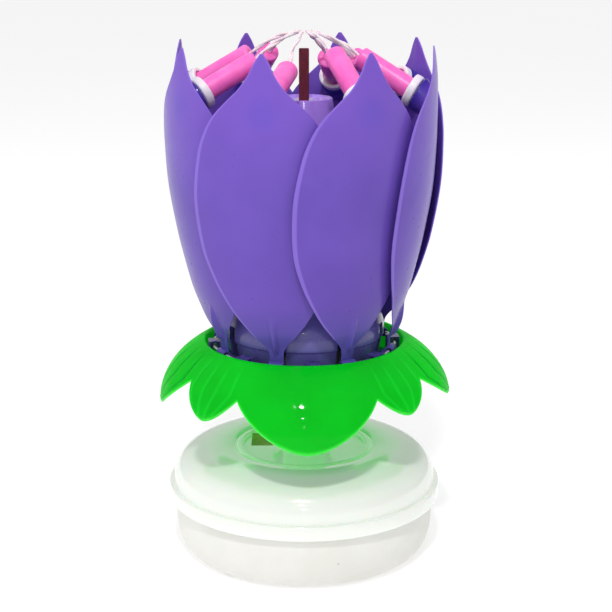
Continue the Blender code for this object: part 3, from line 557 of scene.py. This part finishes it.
steel, look = finish("drawn_steel", Metallic=1.0)
drawn = look.noise(1800, 3, 0.7)
wire(steel, Base_Color=drawn.mix(tint(214, 214, 216), tint(176, 177, 181)), Roughness=drawn * 0.2 + 0.16)
painted(steel, "opening_spring")
hinge_wire = tube("hinge_wire_ring", wire_run, wire_radius, cyclic=True)
dressed(hinge_wire, steel, "head", "spring_steel", "hinge_wire")


# Calyx: the collar of green leaves under the flower, one moulding in bright, slightly clear plastic.
# Four large lobes and four small ones hang from its rim, veined like leaves.
# Inside the rim is the cup that holds the carrier.

rim_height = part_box("calyx")[1].z
rim_rounding = 0.35 * MM
rim_radius = 26.2 * MM
cup_radius = 25.0 * MM
cup_floor = 47.75 * MM
hole_radius = 17.8 * MM
calyx_wall = 1.0 * MM
skirt_reach = 10.9 * MM
skirt_drop = 15.85 * MM
skirt_power = 1.35
spread_power = 1.3
side_shoulder = 0.3
right_reach = 0.6 * MM
lobe_curl = 4.0 * MM
lobe_count = 8
lobe_pitch = 2 * math.pi / lobe_count
# Values for the large lobes, then for the small ones.
lobe_half_angles = (math.radians(30), math.radians(15))
lobe_powers = (1.8, 1.7)
vein_counts = (6, 4)
calyx_turn = math.radians(1.6)
# Length of each lobe, from the front one on, and of the notch before it.
lobe_length_shares = (1.13, 0.836, 0.935, 0.841, 0.977, 0.841, 1.029, 0.89)
notch_share = 0.51
notch_shares = (0.56, 0.56, 0.48, notch_share, notch_share, notch_share, notch_share, 0.48)
calyx_steps = 1080
skirt_rows = 28
slope_step = 0.01
taper_share = 0.05
vein_width = 0.45 * MM
vein_fade = 0.3
least_narrowing = 0.02
# Depth of each lobe's veins. Those of the small lobes stand up and the others are sunk.
vein_depths = [depth * MM for depth in (0.02, -0.08, 0.2, -0.08, 0.2, -0.08, 0.2, -0.08)]
deepest_vein = max(vein_depths)


def off_lobe(angle, lobe):
    """How far an angle lies from a lobe's middle, from minus half a turn to half a turn."""
    return (angle - lobe * lobe_pitch + math.pi) % (2 * math.pi) - math.pi


def lobe_at(angle):
    """The number of the lobe at this angle, from the front one on, and the share across its half width."""
    lobe = round(angle / lobe_pitch) % lobe_count
    if lobe % 2 and abs(off_lobe(angle, lobe)) > lobe_half_angles[1]:
        lobe = round(angle / (2 * lobe_pitch)) * 2 % lobe_count
    return lobe, off_lobe(angle, lobe) / lobe_half_angles[lobe % 2]


def skirt_point(share, small, side=0.0, reach=0.0):
    """(radius, height) on the skirt's upper face, the given share of a full lobe below the rim."""
    spread = math.sin(math.pi / 2 * min(share, 1.0)) ** (spread_power - side_shoulder * side)
    radius = rim_radius + (skirt_reach + reach) * spread
    if small and share > 0.5:
        radius -= lobe_curl * (share - 0.5) ** 2
    return radius, rim_height - skirt_drop * share**skirt_power


def vein(lobe, across, share):
    """Depth of the leaf's veins, which fan out from the rim and draw in to the lobe's tip."""
    length = lobe_length_shares[lobe]
    left = min(max((length - share) / (length - notch_share), least_narrowing), 1.0)
    narrowing = left ** (1 / lobe_powers[lobe % 2])
    count = vein_counts[lobe % 2]
    place = (across / narrowing + 1) / 2 * count
    half_width = lobe_half_angles[lobe % 2] * rim_radius * narrowing
    aside = abs(place % 1 - 0.5) * 2 * half_width / count
    fade = min(share / vein_fade, 1.0) * min(narrowing / vein_fade, 1.0)
    return vein_depths[lobe] * fade * math.exp(-((aside / vein_width) ** 2))


def calyx_section(angle):
    """Points up the outer face, into the cup and down the back, each (radius, height, edge share, vein)."""
    lobe, across = lobe_at(angle)
    small = lobe % 2 == 1
    length = lobe_length_shares[lobe]
    notch = notch_shares[(lobe + (across > 0)) % lobe_count]
    length += (notch - length) * min(abs(across), 1.0) ** lobe_powers[lobe % 2]
    side = 1 - across**2 if lobe in (2, 6) else 0.0
    reach = side * right_reach if lobe == 2 else 0.0
    outer, inner = [], []
    for row in range(skirt_rows + 1):
        share = length * row / skirt_rows
        radius, height = skirt_point(share, small, side, reach)
        next_radius, next_height = skirt_point(share + slope_step, small, side, reach)
        out = Vector((height - next_height, next_radius - radius)).normalized()
        groove = vein(lobe, across, share)
        taper = math.sin(math.pi / 2 * min((length - share) / taper_share, 1.0))
        sunk = groove + calyx_wall / 2 * (1 - taper)
        edge = share / length
        outer.append((radius - out.x * sunk, height - out.y * sunk, edge, groove / deepest_vein))
        back = calyx_wall / 2 * (1 + taper)
        inner.append((radius - out.x * back, height - out.y * back, edge, 0))
    crown = [
        (rim_radius - rim_rounding / 3, rim_height + rim_rounding / 3, 0, 0),
        (rim_radius - rim_rounding, rim_height + rim_rounding / 2, 0, 0),
        (cup_radius + rim_rounding, rim_height + rim_rounding / 2, 0, 0),
        (cup_radius, rim_height - rim_rounding, 0, 0),
        (cup_radius, cup_floor + rim_rounding, 0, 0),
        (cup_radius - rim_rounding, cup_floor, 0, 0),
        (hole_radius, cup_floor, 0, 0),
        (hole_radius, cup_floor - calyx_wall, 0, 0),
        (cup_radius, cup_floor - calyx_wall, 0, 0),
        (cup_radius + calyx_wall, cup_floor, 0, 0),
        (cup_radius + calyx_wall, rim_height - 2 * calyx_wall, 0, 0),
    ]
    return list(reversed(outer)) + crown + inner[1:]


sections = [calyx_section(2 * math.pi * step / calyx_steps) for step in range(calyx_steps)]
ring_points = len(sections[0])
corners = []
for step, section in enumerate(sections):
    angle = 2 * math.pi * step / calyx_steps - math.pi / 2 + calyx_turn
    for radius, height, _, _ in section:
        corners.append((radius * math.cos(angle), radius * math.sin(angle), height))
faces = []
for step in range(calyx_steps):
    here, there = step * ring_points, (step + 1) % calyx_steps * ring_points
    for place in range(ring_points):
        beyond = (place + 1) % ring_points
        faces.append((here + place, there + place, there + beyond, here + beyond))
mesh = bpy.data.meshes.new("calyx_leaves")
mesh.from_pydata(corners, [], faces)
shares = [point[2:] for section in sections for point in section]
for column, name in enumerate(("edge_share", "vein_share")):
    values = [share[column] for share in shares]
    mesh.attributes.new(name, "FLOAT", "POINT").data.foreach_set("value", values)
calyx = closed_up(placed("calyx_leaves", mesh))

# The emission is a painted green glow, for light that passes through the plastic.
leaf_green, look = finish(
    "leaf_green",
    Specular_IOR_Level=0.0,
    Coat_Weight=0.2,
    Coat_Roughness=0.05,
    Subsurface_Weight=0.9,
    Subsurface_Radius=(0.1, 1.0, 0.15),
    Subsurface_Scale=4 * MM,
    Emission_Color=tint(0, 204, 30),
    Emission_Strength=0.2,
)
# Painted light: the thin lobe edges are paler, as if lit through.
edge = look.attribute("edge_share").between(0.94, 1.0)
sunk_vein = look.attribute("vein_share").between(0.1, 1.0)
raised_vein = (look.attribute("vein_share") * -1).between(0.05, 0.45)
body_green = look.noise(60, 3).between(0.3, 0.7).mix(tint(0, 168, 26), tint(0, 152, 22))
# Painted shade in the sunk veins and painted light on the raised ones.
vein_grooves_shaded = (sunk_vein * 0.8).mix(body_green, tint(0, 120, 30))
veins_shaded_and_lit = (raised_vein * 0.15).mix(vein_grooves_shaded, tint(40, 226, 70))
wire(
    leaf_green,
    Base_Color=(edge * 0.6).mix(veins_shaded_and_lit, tint(100, 232, 100)),
    Roughness=look.noise(700, 2) * 0.08 + 0.12,
    Normal=look.bump(look.noise(160, 2), 0.04 * MM),
)
dressed(calyx, leaf_green, "head", "leaf_plastic", "calyx")


# Central tower: the indigo bell in the middle, with a bowl-shaped foot that clips to the carrier.
# Slots in its foot let the petals' heels through, and the fuse stands in its dished top.

tower_low, tower_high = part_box("central_tower")
tower_top_radius = 7.0 * MM
tower_rim = 0.9 * MM
tower_dish = 0.5 * MM
rim_side_rounding = 0.3 * MM
rim_crest_rounding = 0.25 * MM
tower_wall = 1.1 * MM
neck_radius = 17.9 * MM
neck_height = 65.6 * MM
bowl_radius = tower_high.x
foot_radius = 17.3 * MM
bell_shares = ((0.17, 0.13), (0.50, 0.43), (0.85, 0.82))
bell_rounding = 6 * MM
neck_rounding = 0.6 * MM
bowl_shares = ((0.16, 0.70), (0.34, 1.0), (0.505, 0.97))
bowl_rounding = 1.0 * MM
foot_shares = ((0.525, 0.85), (0.78, 0.60))
foot_rounding = 0.8 * MM
slot_width = 3.0 * MM
slot_top = 61.15 * MM
slot_inner = 13.0 * MM
tower_steps = 120

bell = tower_high.z - neck_height
bowl = neck_height - tower_low.z
tower_run = [(0, tower_high.z - tower_dish, 0)]
tower_run.append((tower_top_radius - tower_rim, tower_high.z - tower_dish, rim_side_rounding))
tower_run.append((tower_top_radius - tower_rim / 2, tower_high.z, rim_crest_rounding))
tower_run.append((tower_top_radius, tower_high.z, rim_side_rounding))
for down, spread in bell_shares:
    radius = tower_top_radius + (neck_radius - tower_top_radius) * spread
    tower_run.append((radius, tower_high.z - bell * down, bell_rounding))
tower_run.append((neck_radius, neck_height, neck_rounding))
for down, out in bowl_shares:
    radius = neck_radius + (bowl_radius - neck_radius) * out
    tower_run.append((radius, neck_height - bowl * down, bowl_rounding))
for down, out in foot_shares:
    radius = foot_radius + (bowl_radius - foot_radius) * out
    tower_run.append((radius, neck_height - bowl * down, foot_rounding))
tower_run.append((foot_radius, tower_low.z, 0))
skin = rounded(tower_run, 8)
under_top = tower_high.z - tower_dish - tower_wall
lining = [(radius - tower_wall, height) for radius, height in skin if height < under_top]
tower_run = skin + lining[::-1] + [(tower_top_radius - tower_wall, under_top), (0, under_top)]
tower = turned("central_tower_bell", tower_run, tower_steps)
slot_size = (bowl_radius - slot_inner + overrun, slot_width, slot_top - tower_low.z + overrun)
slot_middle = ((bowl_radius + slot_inner + overrun) / 2, 0, (slot_top + tower_low.z - overrun) / 2)
for angle in petal_angles:
    tool = block(slot_size, slot_middle)
    tool.data.transform(Matrix.Rotation(angle, 4, "Z"))
    cut(tower, tool)
closed_up(tower)

slate, look = finish("slate_violet", Specular_IOR_Level=0.3, Coat_Weight=0.4, Coat_Roughness=0.06)
height = look.node("ShaderNodeSeparateXYZ", inputs={0: look.place()}, output=2)
flow = look.noise(70, 3).between(0.3, 0.7)
# Slate below and violet above, painted lighter towards the top as painted light on the glossy top.
low_skin = flow.mix(tint(98, 90, 166), tint(86, 79, 152))
high_skin = flow.mix(tint(176, 136, 240), tint(164, 124, 230))
wire(
    slate,
    Base_Color=height.between(neck_height, tower_high.z).mix(low_skin, high_skin),
    Roughness=look.noise(900, 2) * 0.12 + 0.2,
    Normal=look.bump(look.noise(300, 2), 0.03 * MM),
)
dressed(tower, slate, "head", "tower_plastic", "central_tower")


# Fuse: the dark coated stick that is lit first and lets the flower go.
# It is a flat length of pressed powder and paper with a grainy skin and rough ends.

fuse_low, fuse_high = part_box("fuse")
fuse_middle = (fuse_low + fuse_high) / 2
fuse_edge = 0.25 * MM
fuse_cuts = 12
coarse_grain = 1.1 * MM
fine_grain = 0.4 * MM
grain_depth = 0.1 * MM

fuse = block(fuse_high - fuse_low, fuse_middle)
fuse.name = "fuse_stick"
applied(fuse, "BEVEL", width=fuse_edge, segments=3)
bpy.context.view_layer.objects.active = fuse
bpy.ops.object.mode_set(mode="EDIT")
bpy.ops.mesh.select_all(action="SELECT")
bpy.ops.mesh.subdivide(number_cuts=fuse_cuts)
bpy.ops.object.mode_set(mode="OBJECT")
for vertex in fuse.data.vertices:
    grain = noise.noise(vertex.co / coarse_grain) + 0.5 * noise.noise(vertex.co / fine_grain)
    inward = fuse_middle - vertex.co
    inward.z = 0
    vertex.co += inward.normalized() * abs(grain) * grain_depth
closed_up(fuse)

fuse_skin, look = finish("fuse_skin", Roughness=0.8)
grain = look.noise(2600, 4, 0.7).between(0.35, 0.65)
wire(
    fuse_skin,
    Base_Color=grain.mix(tint(80, 14, 30), tint(124, 30, 54)),
    Roughness=grain * 0.3 + 0.6,
    Normal=look.bump(grain, 0.1 * MM),
)
dressed(fuse, fuse_skin, "head", "fuse_paper", "fuse")


# Petals: eight thin violet leaves, each hinged on the wire by a barrel at its foot.
# Each has an upright rib outside, a heel that the ring pushes, and a socket for its candle inside.

petal_tip = 130.4 * MM
petal_radius = 33.2 * MM
petal_half_width = 18.3 * MM
petal_wall = 1.0 * MM
thin_share = 0.25
thin_reach = 6.0 * MM
petal_lap_step = 2.1 * MM
# Each row up the petal: share of its height, of its half width, and of its outer radius.
petal_row_shares = (
    (0.0, 0.100, 0.674),
    (0.054, 0.110, 0.690),
    (0.103, 0.280, 0.738),
    (0.148, 0.440, 0.771),
    (0.204, 0.600, 0.815),
    (0.283, 0.780, 0.863),
    (0.389, 0.940, 0.919),
    (0.546, 1.000, 0.979),
    (0.691, 0.905, 1.000),
    (0.764, 0.785, 1.002),
    (0.813, 0.645, 1.002),
    (0.856, 0.465, 1.001),
    (0.895, 0.295, 0.998),
    (0.935, 0.175, 0.991),
    (0.975, 0.090, 0.982),
    (1.0, 0.020, 0.975),
)
petal_columns = 44
petal_rows = 110
column_power = 1.5
rib_half_width = 1.0 * MM
rib_foot = 57.9 * MM
rib_length = 9.5 * MM
rib_rise = 1.35 * MM
rib_start_share = 0.12
rib_fall_power = 2.5
rib_side_power = 1.5
petal_edge = 0.16 * MM
barrel_radius = 1.2 * MM
barrel_length = 3.8 * MM
barrel_edge = 0.2 * MM
pin_gap = 0.2 * MM
heel_length = 9.4 * MM
heel_drop = math.radians(30)
heel_width = 2.2 * MM
heel_thickness = 1.56 * MM
socket_height = 117.0 * MM
socket_radius = 4.2 * MM
socket_length = 4.2 * MM
socket_rounding = 0.35 * MM
socket_bore = 2.9 * MM
socket_bore_depth = 3.0 * MM
small_steps = 64
candle_rise = math.radians(28)
candle_axis = Vector((-math.cos(candle_rise), 0, math.sin(candle_rise)))
petal_height = petal_tip - hinge_height
edge_band = 0.5 * MM
barrel_share = 0.1
socket_spot_reach = 6.0 * MM


def row_at(share):
    """(share of the half width, share of the radius) at a share of the petal's height, on a smooth curve."""
    rows = petal_row_shares
    index = max(i for i in range(len(rows) - 1) if rows[i][0] <= share or i == 0)
    first, second = rows[index], rows[index + 1]
    before = rows[index - 1] if index else first
    after = rows[index + 2] if index + 2 < len(rows) else second
    span = second[0] - first[0]
    mix = min(max((share - first[0]) / span, 0.0), 1.0)
    found = []
    for part in (1, 2):
        rise = (second[part] - before[part]) / (second[0] - before[0]) * span
        fall = (after[part] - first[part]) / (after[0] - first[0]) * span
        step = second[part] - first[part]
        if (rise > 0) != (step > 0):
            rise = 0
        if (fall > 0) != (step > 0):
            fall = 0
        cube, square = mix**3, mix**2
        value = (2 * cube - 3 * square + 1) * first[part] + (cube - 2 * square + mix) * rise
        found.append(value + (3 * square - 2 * cube) * second[part] + (cube - square) * fall)
    return found


def rib_height(height):
    """How far the rib stands out at a height."""
    share = (height - rib_foot) / rib_length
    if not 0 < share < 1:
        return 0.0
    return rib_rise * min(share / rib_start_share, 1.0) * (1 - share**rib_fall_power)


def candle_frame(along):
    """Turns a piece made along +Z into the candle's line, that far in from the petal's face."""
    radius = row_at((socket_height - hinge_height) / petal_height)[1] * petal_radius - petal_wall
    start = Vector((radius, 0, socket_height)) + candle_axis * along
    return Matrix.Translation(start) @ candle_axis.to_track_quat("Z", "Y").to_matrix().to_4x4()


bpy.ops.object.select_all(action="DESELECT")
bpy.ops.mesh.primitive_grid_add(x_subdivisions=petal_columns, y_subdivisions=petal_rows, size=2)
petal = bpy.context.object
petal.name = "petal_leaf"
for vertex in petal.data.vertices:
    across = math.copysign(abs(vertex.co.x) ** column_power, vertex.co.x)
    share = (vertex.co.y + 1) / 2
    width, out = row_at(share)
    radius = petal_radius * out
    angle = across * petal_half_width * width / radius
    radius -= petal_lap_step * angle / petal_pitch
    vertex.co = (radius * math.cos(angle), radius * math.sin(angle), hinge_height + petal_height * share)
outer_count = len(petal.data.vertices)
wall = petal.vertex_groups.new(name="wall")
for vertex in petal.data.vertices:
    row, column = divmod(vertex.index, petal_columns + 1)
    width = row_at(row / petal_rows)[0] * petal_half_width
    to_side = width * (1 - abs(2 * column / petal_columns - 1) ** column_power)
    to_tip = petal_height * (1 - row / petal_rows)
    wall.add([vertex.index], min(to_side, to_tip, thin_reach) / thin_reach, "REPLACE")
applied(
    petal, "SOLIDIFY", thickness=petal_wall, offset=-1, vertex_group="wall", thickness_vertex_group=thin_share
)
for vertex in petal.data.vertices[:outer_count]:
    rise = rib_height(vertex.co.z)
    side = min(abs(vertex.co.y) / rib_half_width, 1.0)
    vertex.co.x += rise * (1 - side**2) ** rib_side_power
applied(petal, "BEVEL", width=petal_edge, segments=3, limit_method="ANGLE", angle_limit=sharp_angle)

onto_hinge = Matrix.Translation((hinge_radius, 0, hinge_height))
along_hinge = onto_hinge @ Matrix.Rotation(math.pi / 2, 4, "X")
barrel = rod(barrel_radius, -barrel_length / 2, barrel_length / 2, sides=40)
barrel.data.transform(along_hinge)
applied(barrel, "BEVEL", width=barrel_edge, segments=2)
heel = rod(heel_width / 2, 0, heel_length, sides=24)
down = Vector((-math.cos(heel_drop), 0, -math.sin(heel_drop)))
heel.data.transform(Matrix.Diagonal((1, heel_thickness / heel_width, 1, 1)))
heel.data.transform(onto_hinge @ down.to_track_quat("Z", "Y").to_matrix().to_4x4())
socket = turned(
    "socket",
    rounded(
        [
            (0, socket_length, 0),
            (socket_radius, socket_length, socket_rounding),
            (socket_radius, -socket_radius / 2, 0),
            (0, -socket_radius / 2, 0),
        ]
    ),
    small_steps,
)
socket.data.transform(candle_frame(0))
for vertex in socket.data.vertices:
    reach = vertex.co.to_2d().length
    share = (vertex.co.z - hinge_height) / petal_height
    angle = math.atan2(vertex.co.y, vertex.co.x)
    limit = row_at(share)[1] * petal_radius - petal_lap_step * angle / petal_pitch - petal_wall / 2
    if reach > limit:
        vertex.co.x *= limit / reach
        vertex.co.y *= limit / reach
cut(petal, barrel, heel, socket, operation="UNION")
bore = rod(socket_bore, socket_length - socket_bore_depth, socket_length + overrun, sides=48)
bore.data.transform(candle_frame(0))
pin_hole = rod(wire_radius + pin_gap, -barrel_length, barrel_length, sides=24)
pin_hole.data.transform(along_hinge)
cut(petal, bore, pin_hole)
closed_up(petal)

shares = {"edge_share": [], "height_share": [], "glow_share": [], "socket_share": []}
socket_centre = candle_frame(0).to_translation()
for vertex in petal.data.vertices:
    height = min(max((vertex.co.z - hinge_height) / petal_height, 0.0), 1.0)
    width, out = row_at(height)
    radius = vertex.co.to_2d().length
    across = abs(math.atan2(vertex.co.y, vertex.co.x)) * radius
    along = (vertex.co - socket_centre).dot(candle_axis)
    off_axis = (vertex.co - socket_centre - candle_axis * along).length
    inside = radius < out * petal_radius - 1.5 * petal_wall
    edge_nearness = 1 - (petal_half_width * width - across) / edge_band
    shares["edge_share"].append(edge_nearness if height > barrel_share else 0.0)
    shares["height_share"].append(height)
    shares["glow_share"].append(1 - (vertex.co - socket_centre).length / socket_spot_reach)
    shares["socket_share"].append(float(inside and off_axis < socket_radius + edge_band / 8))
for name, values in shares.items():
    petal.data.attributes.new(name, "FLOAT", "POINT").data.foreach_set("value", values)

violet, look = finish("violet_plastic", Specular_IOR_Level=0.15, Coat_Weight=0.12, Coat_Roughness=0.1)
mottle = look.noise(45, 3).between(0.3, 0.7)
skin = mottle.mix(tint(108, 80, 182), tint(99, 73, 171))
# Painted light: lighter towards the tips, where more light falls from above.
tipped = (look.attribute("height_share").between(0.55, 0.95) * 0.7).mix(skin, tint(124, 88, 196))
# Painted shade: darker at the feet, down between the petals at the calyx rim.
footed = look.attribute("height_share").between(0.0, 0.24).mix(tint(76, 70, 150), tipped)
# A bluer spot round each socket's foot.
sunk = (look.attribute("glow_share").between(0.0, 1.0) * 0.35).mix(footed, tint(84, 74, 190))
# Painted shade: the socket inside the petal is darker.
socket_shaded = look.attribute("socket_share").mix(sunk, tint(62, 44, 156))
# Painted highlight: a pale line along the petal's edges.
wire(
    violet,
    Base_Color=(look.attribute("edge_share").between(0.0, 1.0) * 0.4).mix(socket_shaded, tint(158, 128, 232)),
    Roughness=look.noise(600, 2) * 0.12 + 0.24,
    Normal=look.bump(look.noise(55, 2), 0.25 * MM),
)

for index, angle in enumerate(petal_angles, 1):
    copy = placed(f"petal_leaf_{index}", petal.data.copy())
    copy.data.transform(Matrix.Rotation(angle, 4, "Z"))
    dressed(copy, violet, f"flower_{index}", "petal_plastic", f"petal_{index}")
bpy.data.objects.remove(petal)


# Drip cups and candles: a small white cup pressed into each petal's socket, and a pink candle stood in it.
# The candles are dyed wax, cast with soft ends and a dimple round the wick.

cup_radius_outer = 4.0 * MM
cup_height = 2.4 * MM
cup_floor_height = 1.3 * MM
cup_floor_rounding = 0.2 * MM
cup_lip_rounding = 0.3 * MM
cup_top_rounding = 0.9 * MM
cup_foot_rounding = 0.6 * MM
spigot_length = 2.6 * MM
spigot_rounding = 0.3 * MM
candle_radius = 2.65 * MM
candle_length = 15.2 * MM
candle_top_rounding = 0.7 * MM
candle_foot_rounding = 0.3 * MM
dimple_depth = 0.4 * MM
dimple_floor_radius = 0.5 * MM
dimple_floor_rounding = 0.2 * MM
dimple_radius = 1.1 * MM
dimple_rounding = 0.3 * MM
seat = 0.3 * MM
cup_start = socket_length
wax_grain = 3.5 * MM
wax_unevenness = 0.05 * MM
even_radius = MM
copy_turns = 7
# How far each candle leans in its cup, in degrees: up, and to the side.
candle_leans = ((-8, 0), (9, 0), (2, -3), (-2, 3), (-5, 8), (2, -9), (2, 2), (-2, 0))

cup_white, look = finish("cup_white", Coat_Weight=0.2, Subsurface_Weight=0.25, Subsurface_Scale=1.5 * MM)
milky = look.noise(400, 3)
wire(
    cup_white,
    Base_Color=milky.mix(tint(246, 242, 246), tint(228, 220, 230)),
    Roughness=milky * 0.2 + 0.28,
    Normal=look.bump(look.noise(900, 2), 0.04 * MM),
)
cup = turned(
    "drip_cup",
    rounded(
        [
            (0, cup_floor_height, 0),
            (candle_radius + seat, cup_floor_height, cup_floor_rounding),
            (candle_radius + seat, cup_height, cup_lip_rounding),
            (cup_radius_outer, cup_height, cup_top_rounding),
            (cup_radius_outer, seat, cup_foot_rounding),
            (socket_bore - seat, seat, 0),
            (socket_bore - seat, -spigot_length, spigot_rounding),
            (0, -spigot_length, 0),
        ]
    ),
    small_steps,
)

pink_wax, look = finish(
    "pink_wax",
    Subsurface_Weight=0.4,
    Subsurface_Radius=(1.0, 0.35, 0.5),
    Subsurface_Scale=2 * MM,
    Coat_Weight=0.15,
    Coat_Roughness=0.3,
)
bloom = look.noise(260, 4).between(0.3, 0.75)
pores = look.specks(900, 0.12)
wire(
    pink_wax,
    Base_Color=(pores * 0.35).mix(bloom.mix(tint(255, 120, 204), tint(250, 100, 192)), tint(232, 66, 160)),
    Roughness=bloom * 0.2 + 0.3,
    Normal=look.bump(look.noise(700, 3), 0.06 * MM),
)
candle_low = cup_floor_height + seat
candle_top = candle_low + candle_length
candle = turned(
    "candle",
    rounded(
        [
            (0, candle_top - dimple_depth, 0),
            (dimple_floor_radius, candle_top - dimple_depth, dimple_floor_rounding),
            (dimple_radius, candle_top, dimple_rounding),
            (candle_radius, candle_top, candle_top_rounding),
            (candle_radius, candle_low, candle_foot_rounding),
            (0, candle_low, 0),
        ]
    ),
    small_steps,
)
for vertex in candle.data.vertices:
    wobble = noise.noise(vertex.co / wax_grain) * wax_unevenness
    flat = vertex.co.to_2d()
    if flat.length > even_radius:
        vertex.co += Vector((*flat.normalized(), 0)) * (wobble - wax_unevenness)


def leaning(index):
    """Turns a candle about its foot, within its cup's frame."""
    up, aside = [math.radians(lean) for lean in candle_leans[index - 1]]
    foot = Matrix.Translation((0, 0, candle_low))
    return foot @ Matrix.Rotation(aside, 4, sideways) @ Matrix.Rotation(up, 4, upwards) @ foot.inverted()


into_cup = candle_frame(0).to_3x3().inverted()
upwards = into_cup @ Vector((0, 1, 0))
sideways = upwards.cross(Vector((0, 0, 1)))
for index, angle in enumerate(petal_angles, 1):
    for model, name, made, slot, lean in (
        (cup, "drip_cup", cup_white, "cup_plastic", Matrix()),
        (candle, "candle", pink_wax, "candle_wax", leaning(index)),
    ):
        copy = placed(f"{name}_turned_{index}", model.data.copy())
        spin = Matrix.Rotation(angle * copy_turns, 4, "Z")
        copy.data.transform(Matrix.Rotation(angle, 4, "Z") @ candle_frame(cup_start) @ lean @ spin)
        dressed(copy, made, f"flower_{index}", slot, f"{name}_{index}")
bpy.data.objects.remove(cup)
bpy.data.objects.remove(candle)


# Wicks: pale twisted cotton, one from each candle's end to just over the fuse, where all are lit together.
# Each is two strands laid round one another and stiff with wax.

wick_sink = 0.1 * MM
wick_end_radius = 2.1 * MM
wick_end_height = 132.9 * MM
wick_bow = 1.0 * MM
strand_radius = 0.34 * MM
lay_radius = 0.22 * MM
lay_unevenness = 0.3
lay_wave = 7
lay_phase = 3
wick_turns = 1.25
wick_points = 60
wick_sway = 0.35 * MM
sway_turns = 1.1
sway_phase = 2

cotton, look = finish("waxed_cotton", Subsurface_Weight=0.2, Subsurface_Scale=MM)
fibre = look.noise(3500, 3, 0.7)
wire(
    cotton,
    Base_Color=fibre.between(0.35, 0.7).mix(tint(250, 236, 240), tint(232, 202, 212)),
    Roughness=fibre * 0.3 + 0.5,
    Normal=look.bump(fibre, 0.06 * MM),
)
for index, angle in enumerate(petal_angles, 1):
    start = candle_frame(cup_start) @ leaning(index) @ Vector((0, 0, candle_top - wick_sink))
    end = Vector((wick_end_radius, 0, wick_end_height))
    line = (end - start).normalized()
    side = Vector((0, 1, 0))
    up = line.cross(side)
    strands = []
    for phase in (0, math.pi):
        route = []
        for step in range(wick_points + 1):
            share = step / wick_points
            turn = phase + angle + 2 * math.pi * wick_turns * share
            lay = lay_radius * (1 + lay_unevenness * math.sin(lay_wave * share + lay_phase * angle))
            from_ends = math.sin(math.pi * share)
            sway = wick_sway * math.sin(2 * math.pi * sway_turns * share + sway_phase * index)
            place = start.lerp(end, share) + Vector((0, 0, wick_bow)) * from_ends
            place += (side * math.cos(turn) + up * math.sin(turn)) * lay
            place += side * sway * from_ends
            route.append(place)
        strands.append(tube("strand", route, strand_radius, sides=2))
    bpy.ops.object.select_all(action="DESELECT")
    for strand in strands:
        strand.select_set(True)
    bpy.context.view_layer.objects.active = strands[0]
    bpy.ops.object.join()
    wick = bpy.context.object
    wick.name = f"wick_twist_{index}"
    wick.data.transform(Matrix.Rotation(angle, 4, "Z"))
    dressed(wick, cotton, f"flower_{index}", "wick_cotton", f"wick_{index}")


# Studio: a pale floor, a white surround and soft lamps, seen by the camera from a little above.
# The surround is a little dimmer on the right, where the photographed flower is darker.

floor_size = 12.0
floor_gap = 0.05 * MM
bpy.ops.object.select_all(action="DESELECT")
bpy.ops.mesh.primitive_plane_add(size=floor_size, location=(0, 0, -floor_gap))
floor = bpy.context.object
floor.name = "studio_floor"
pale, look = finish("pale_floor", Roughness=0.9, Specular_IOR_Level=0.0, Emission_Strength=0.6)
dust = look.noise(3, 2)
wire(
    pale,
    Base_Color=dust.mix(tint(191, 191, 191), tint(189, 189, 189)),
    Roughness=dust * 0.05 + 0.9,
    Emission_Color=look.reach().between(0.15, 0.6).mix(tint(240, 240, 240), tint(255, 255, 255)),
)
floor.data.materials.append(pale)

surround_strength = 0.62
right_dimming = 0.24
world = bpy.data.worlds.new("white_surround")
bpy.context.scene.world = world
world.use_nodes = True
surround = world.node_tree.nodes["Background"]
surround.inputs["Color"].default_value = (1, 1, 1, 1)
sky = Value(world.node_tree)
rightward = sky.node("ShaderNodeSeparateXYZ", inputs={0: sky.node("ShaderNodeTexCoord")})
strength = surround_strength - rightward.between(0.45, 1.0) * right_dimming
world.node_tree.links.new(strength.socket, surround.inputs["Strength"])
bpy.context.scene.view_settings.view_transform = "Standard"

# Each lamp's name, place, width and watts. The smallest ones make the highlights.
widest_highlight = 0.1
lamps = (
    ("key", (-0.03, -0.52, 0.74), 0.06, 2.6),
    ("fill", (-0.35, -0.55, 0.45), 0.30, 0.3),
    ("left", (-0.70, 0.15, 0.25), 0.30, 0.8),
    ("right", (0.65, 0.30, 0.25), 0.30, 0.5),
    ("top", (0.05, 0.10, 0.75), 0.35, 0.8),
    ("spark", (-0.02, -0.66, 0.52), 0.02, 0.25),
    ("flash", (0.0, -0.75, 0.30), 0.03, 0.15),
)
aim = Vector((0, 0, 0.07))
for name, place, size, power in lamps:
    light = bpy.data.lights.new(name, "AREA")
    light.shape = "DISK"
    light.size = size
    light.energy = power
    lamp = placed(name, light)
    lamp.location = place
    lamp.visible_glossy = size < widest_highlight
    lamp.rotation_mode = "QUATERNION"
    lamp.rotation_quaternion = (aim - Vector(place)).to_track_quat("-Z", "Y")

sensor_width = 36.0
focal_pixels = 1500
picture_pixels = 612
camera_pitch = math.radians(14.8)
camera_distance = 382 * MM
camera_side = 0.5 * MM
axis_height = 64 * MM
view = bpy.data.cameras.new("camera")
view.sensor_width = sensor_width
view.lens = sensor_width * focal_pixels / picture_pixels
view.clip_start = 0.01
camera = placed("camera", view)
camera.location = (
    camera_side,
    -camera_distance * math.cos(camera_pitch),
    axis_height + camera_distance * math.sin(camera_pitch),
)
camera.rotation_euler = (math.pi / 2 - camera_pitch, 0, 0)
bpy.context.scene.camera = camera
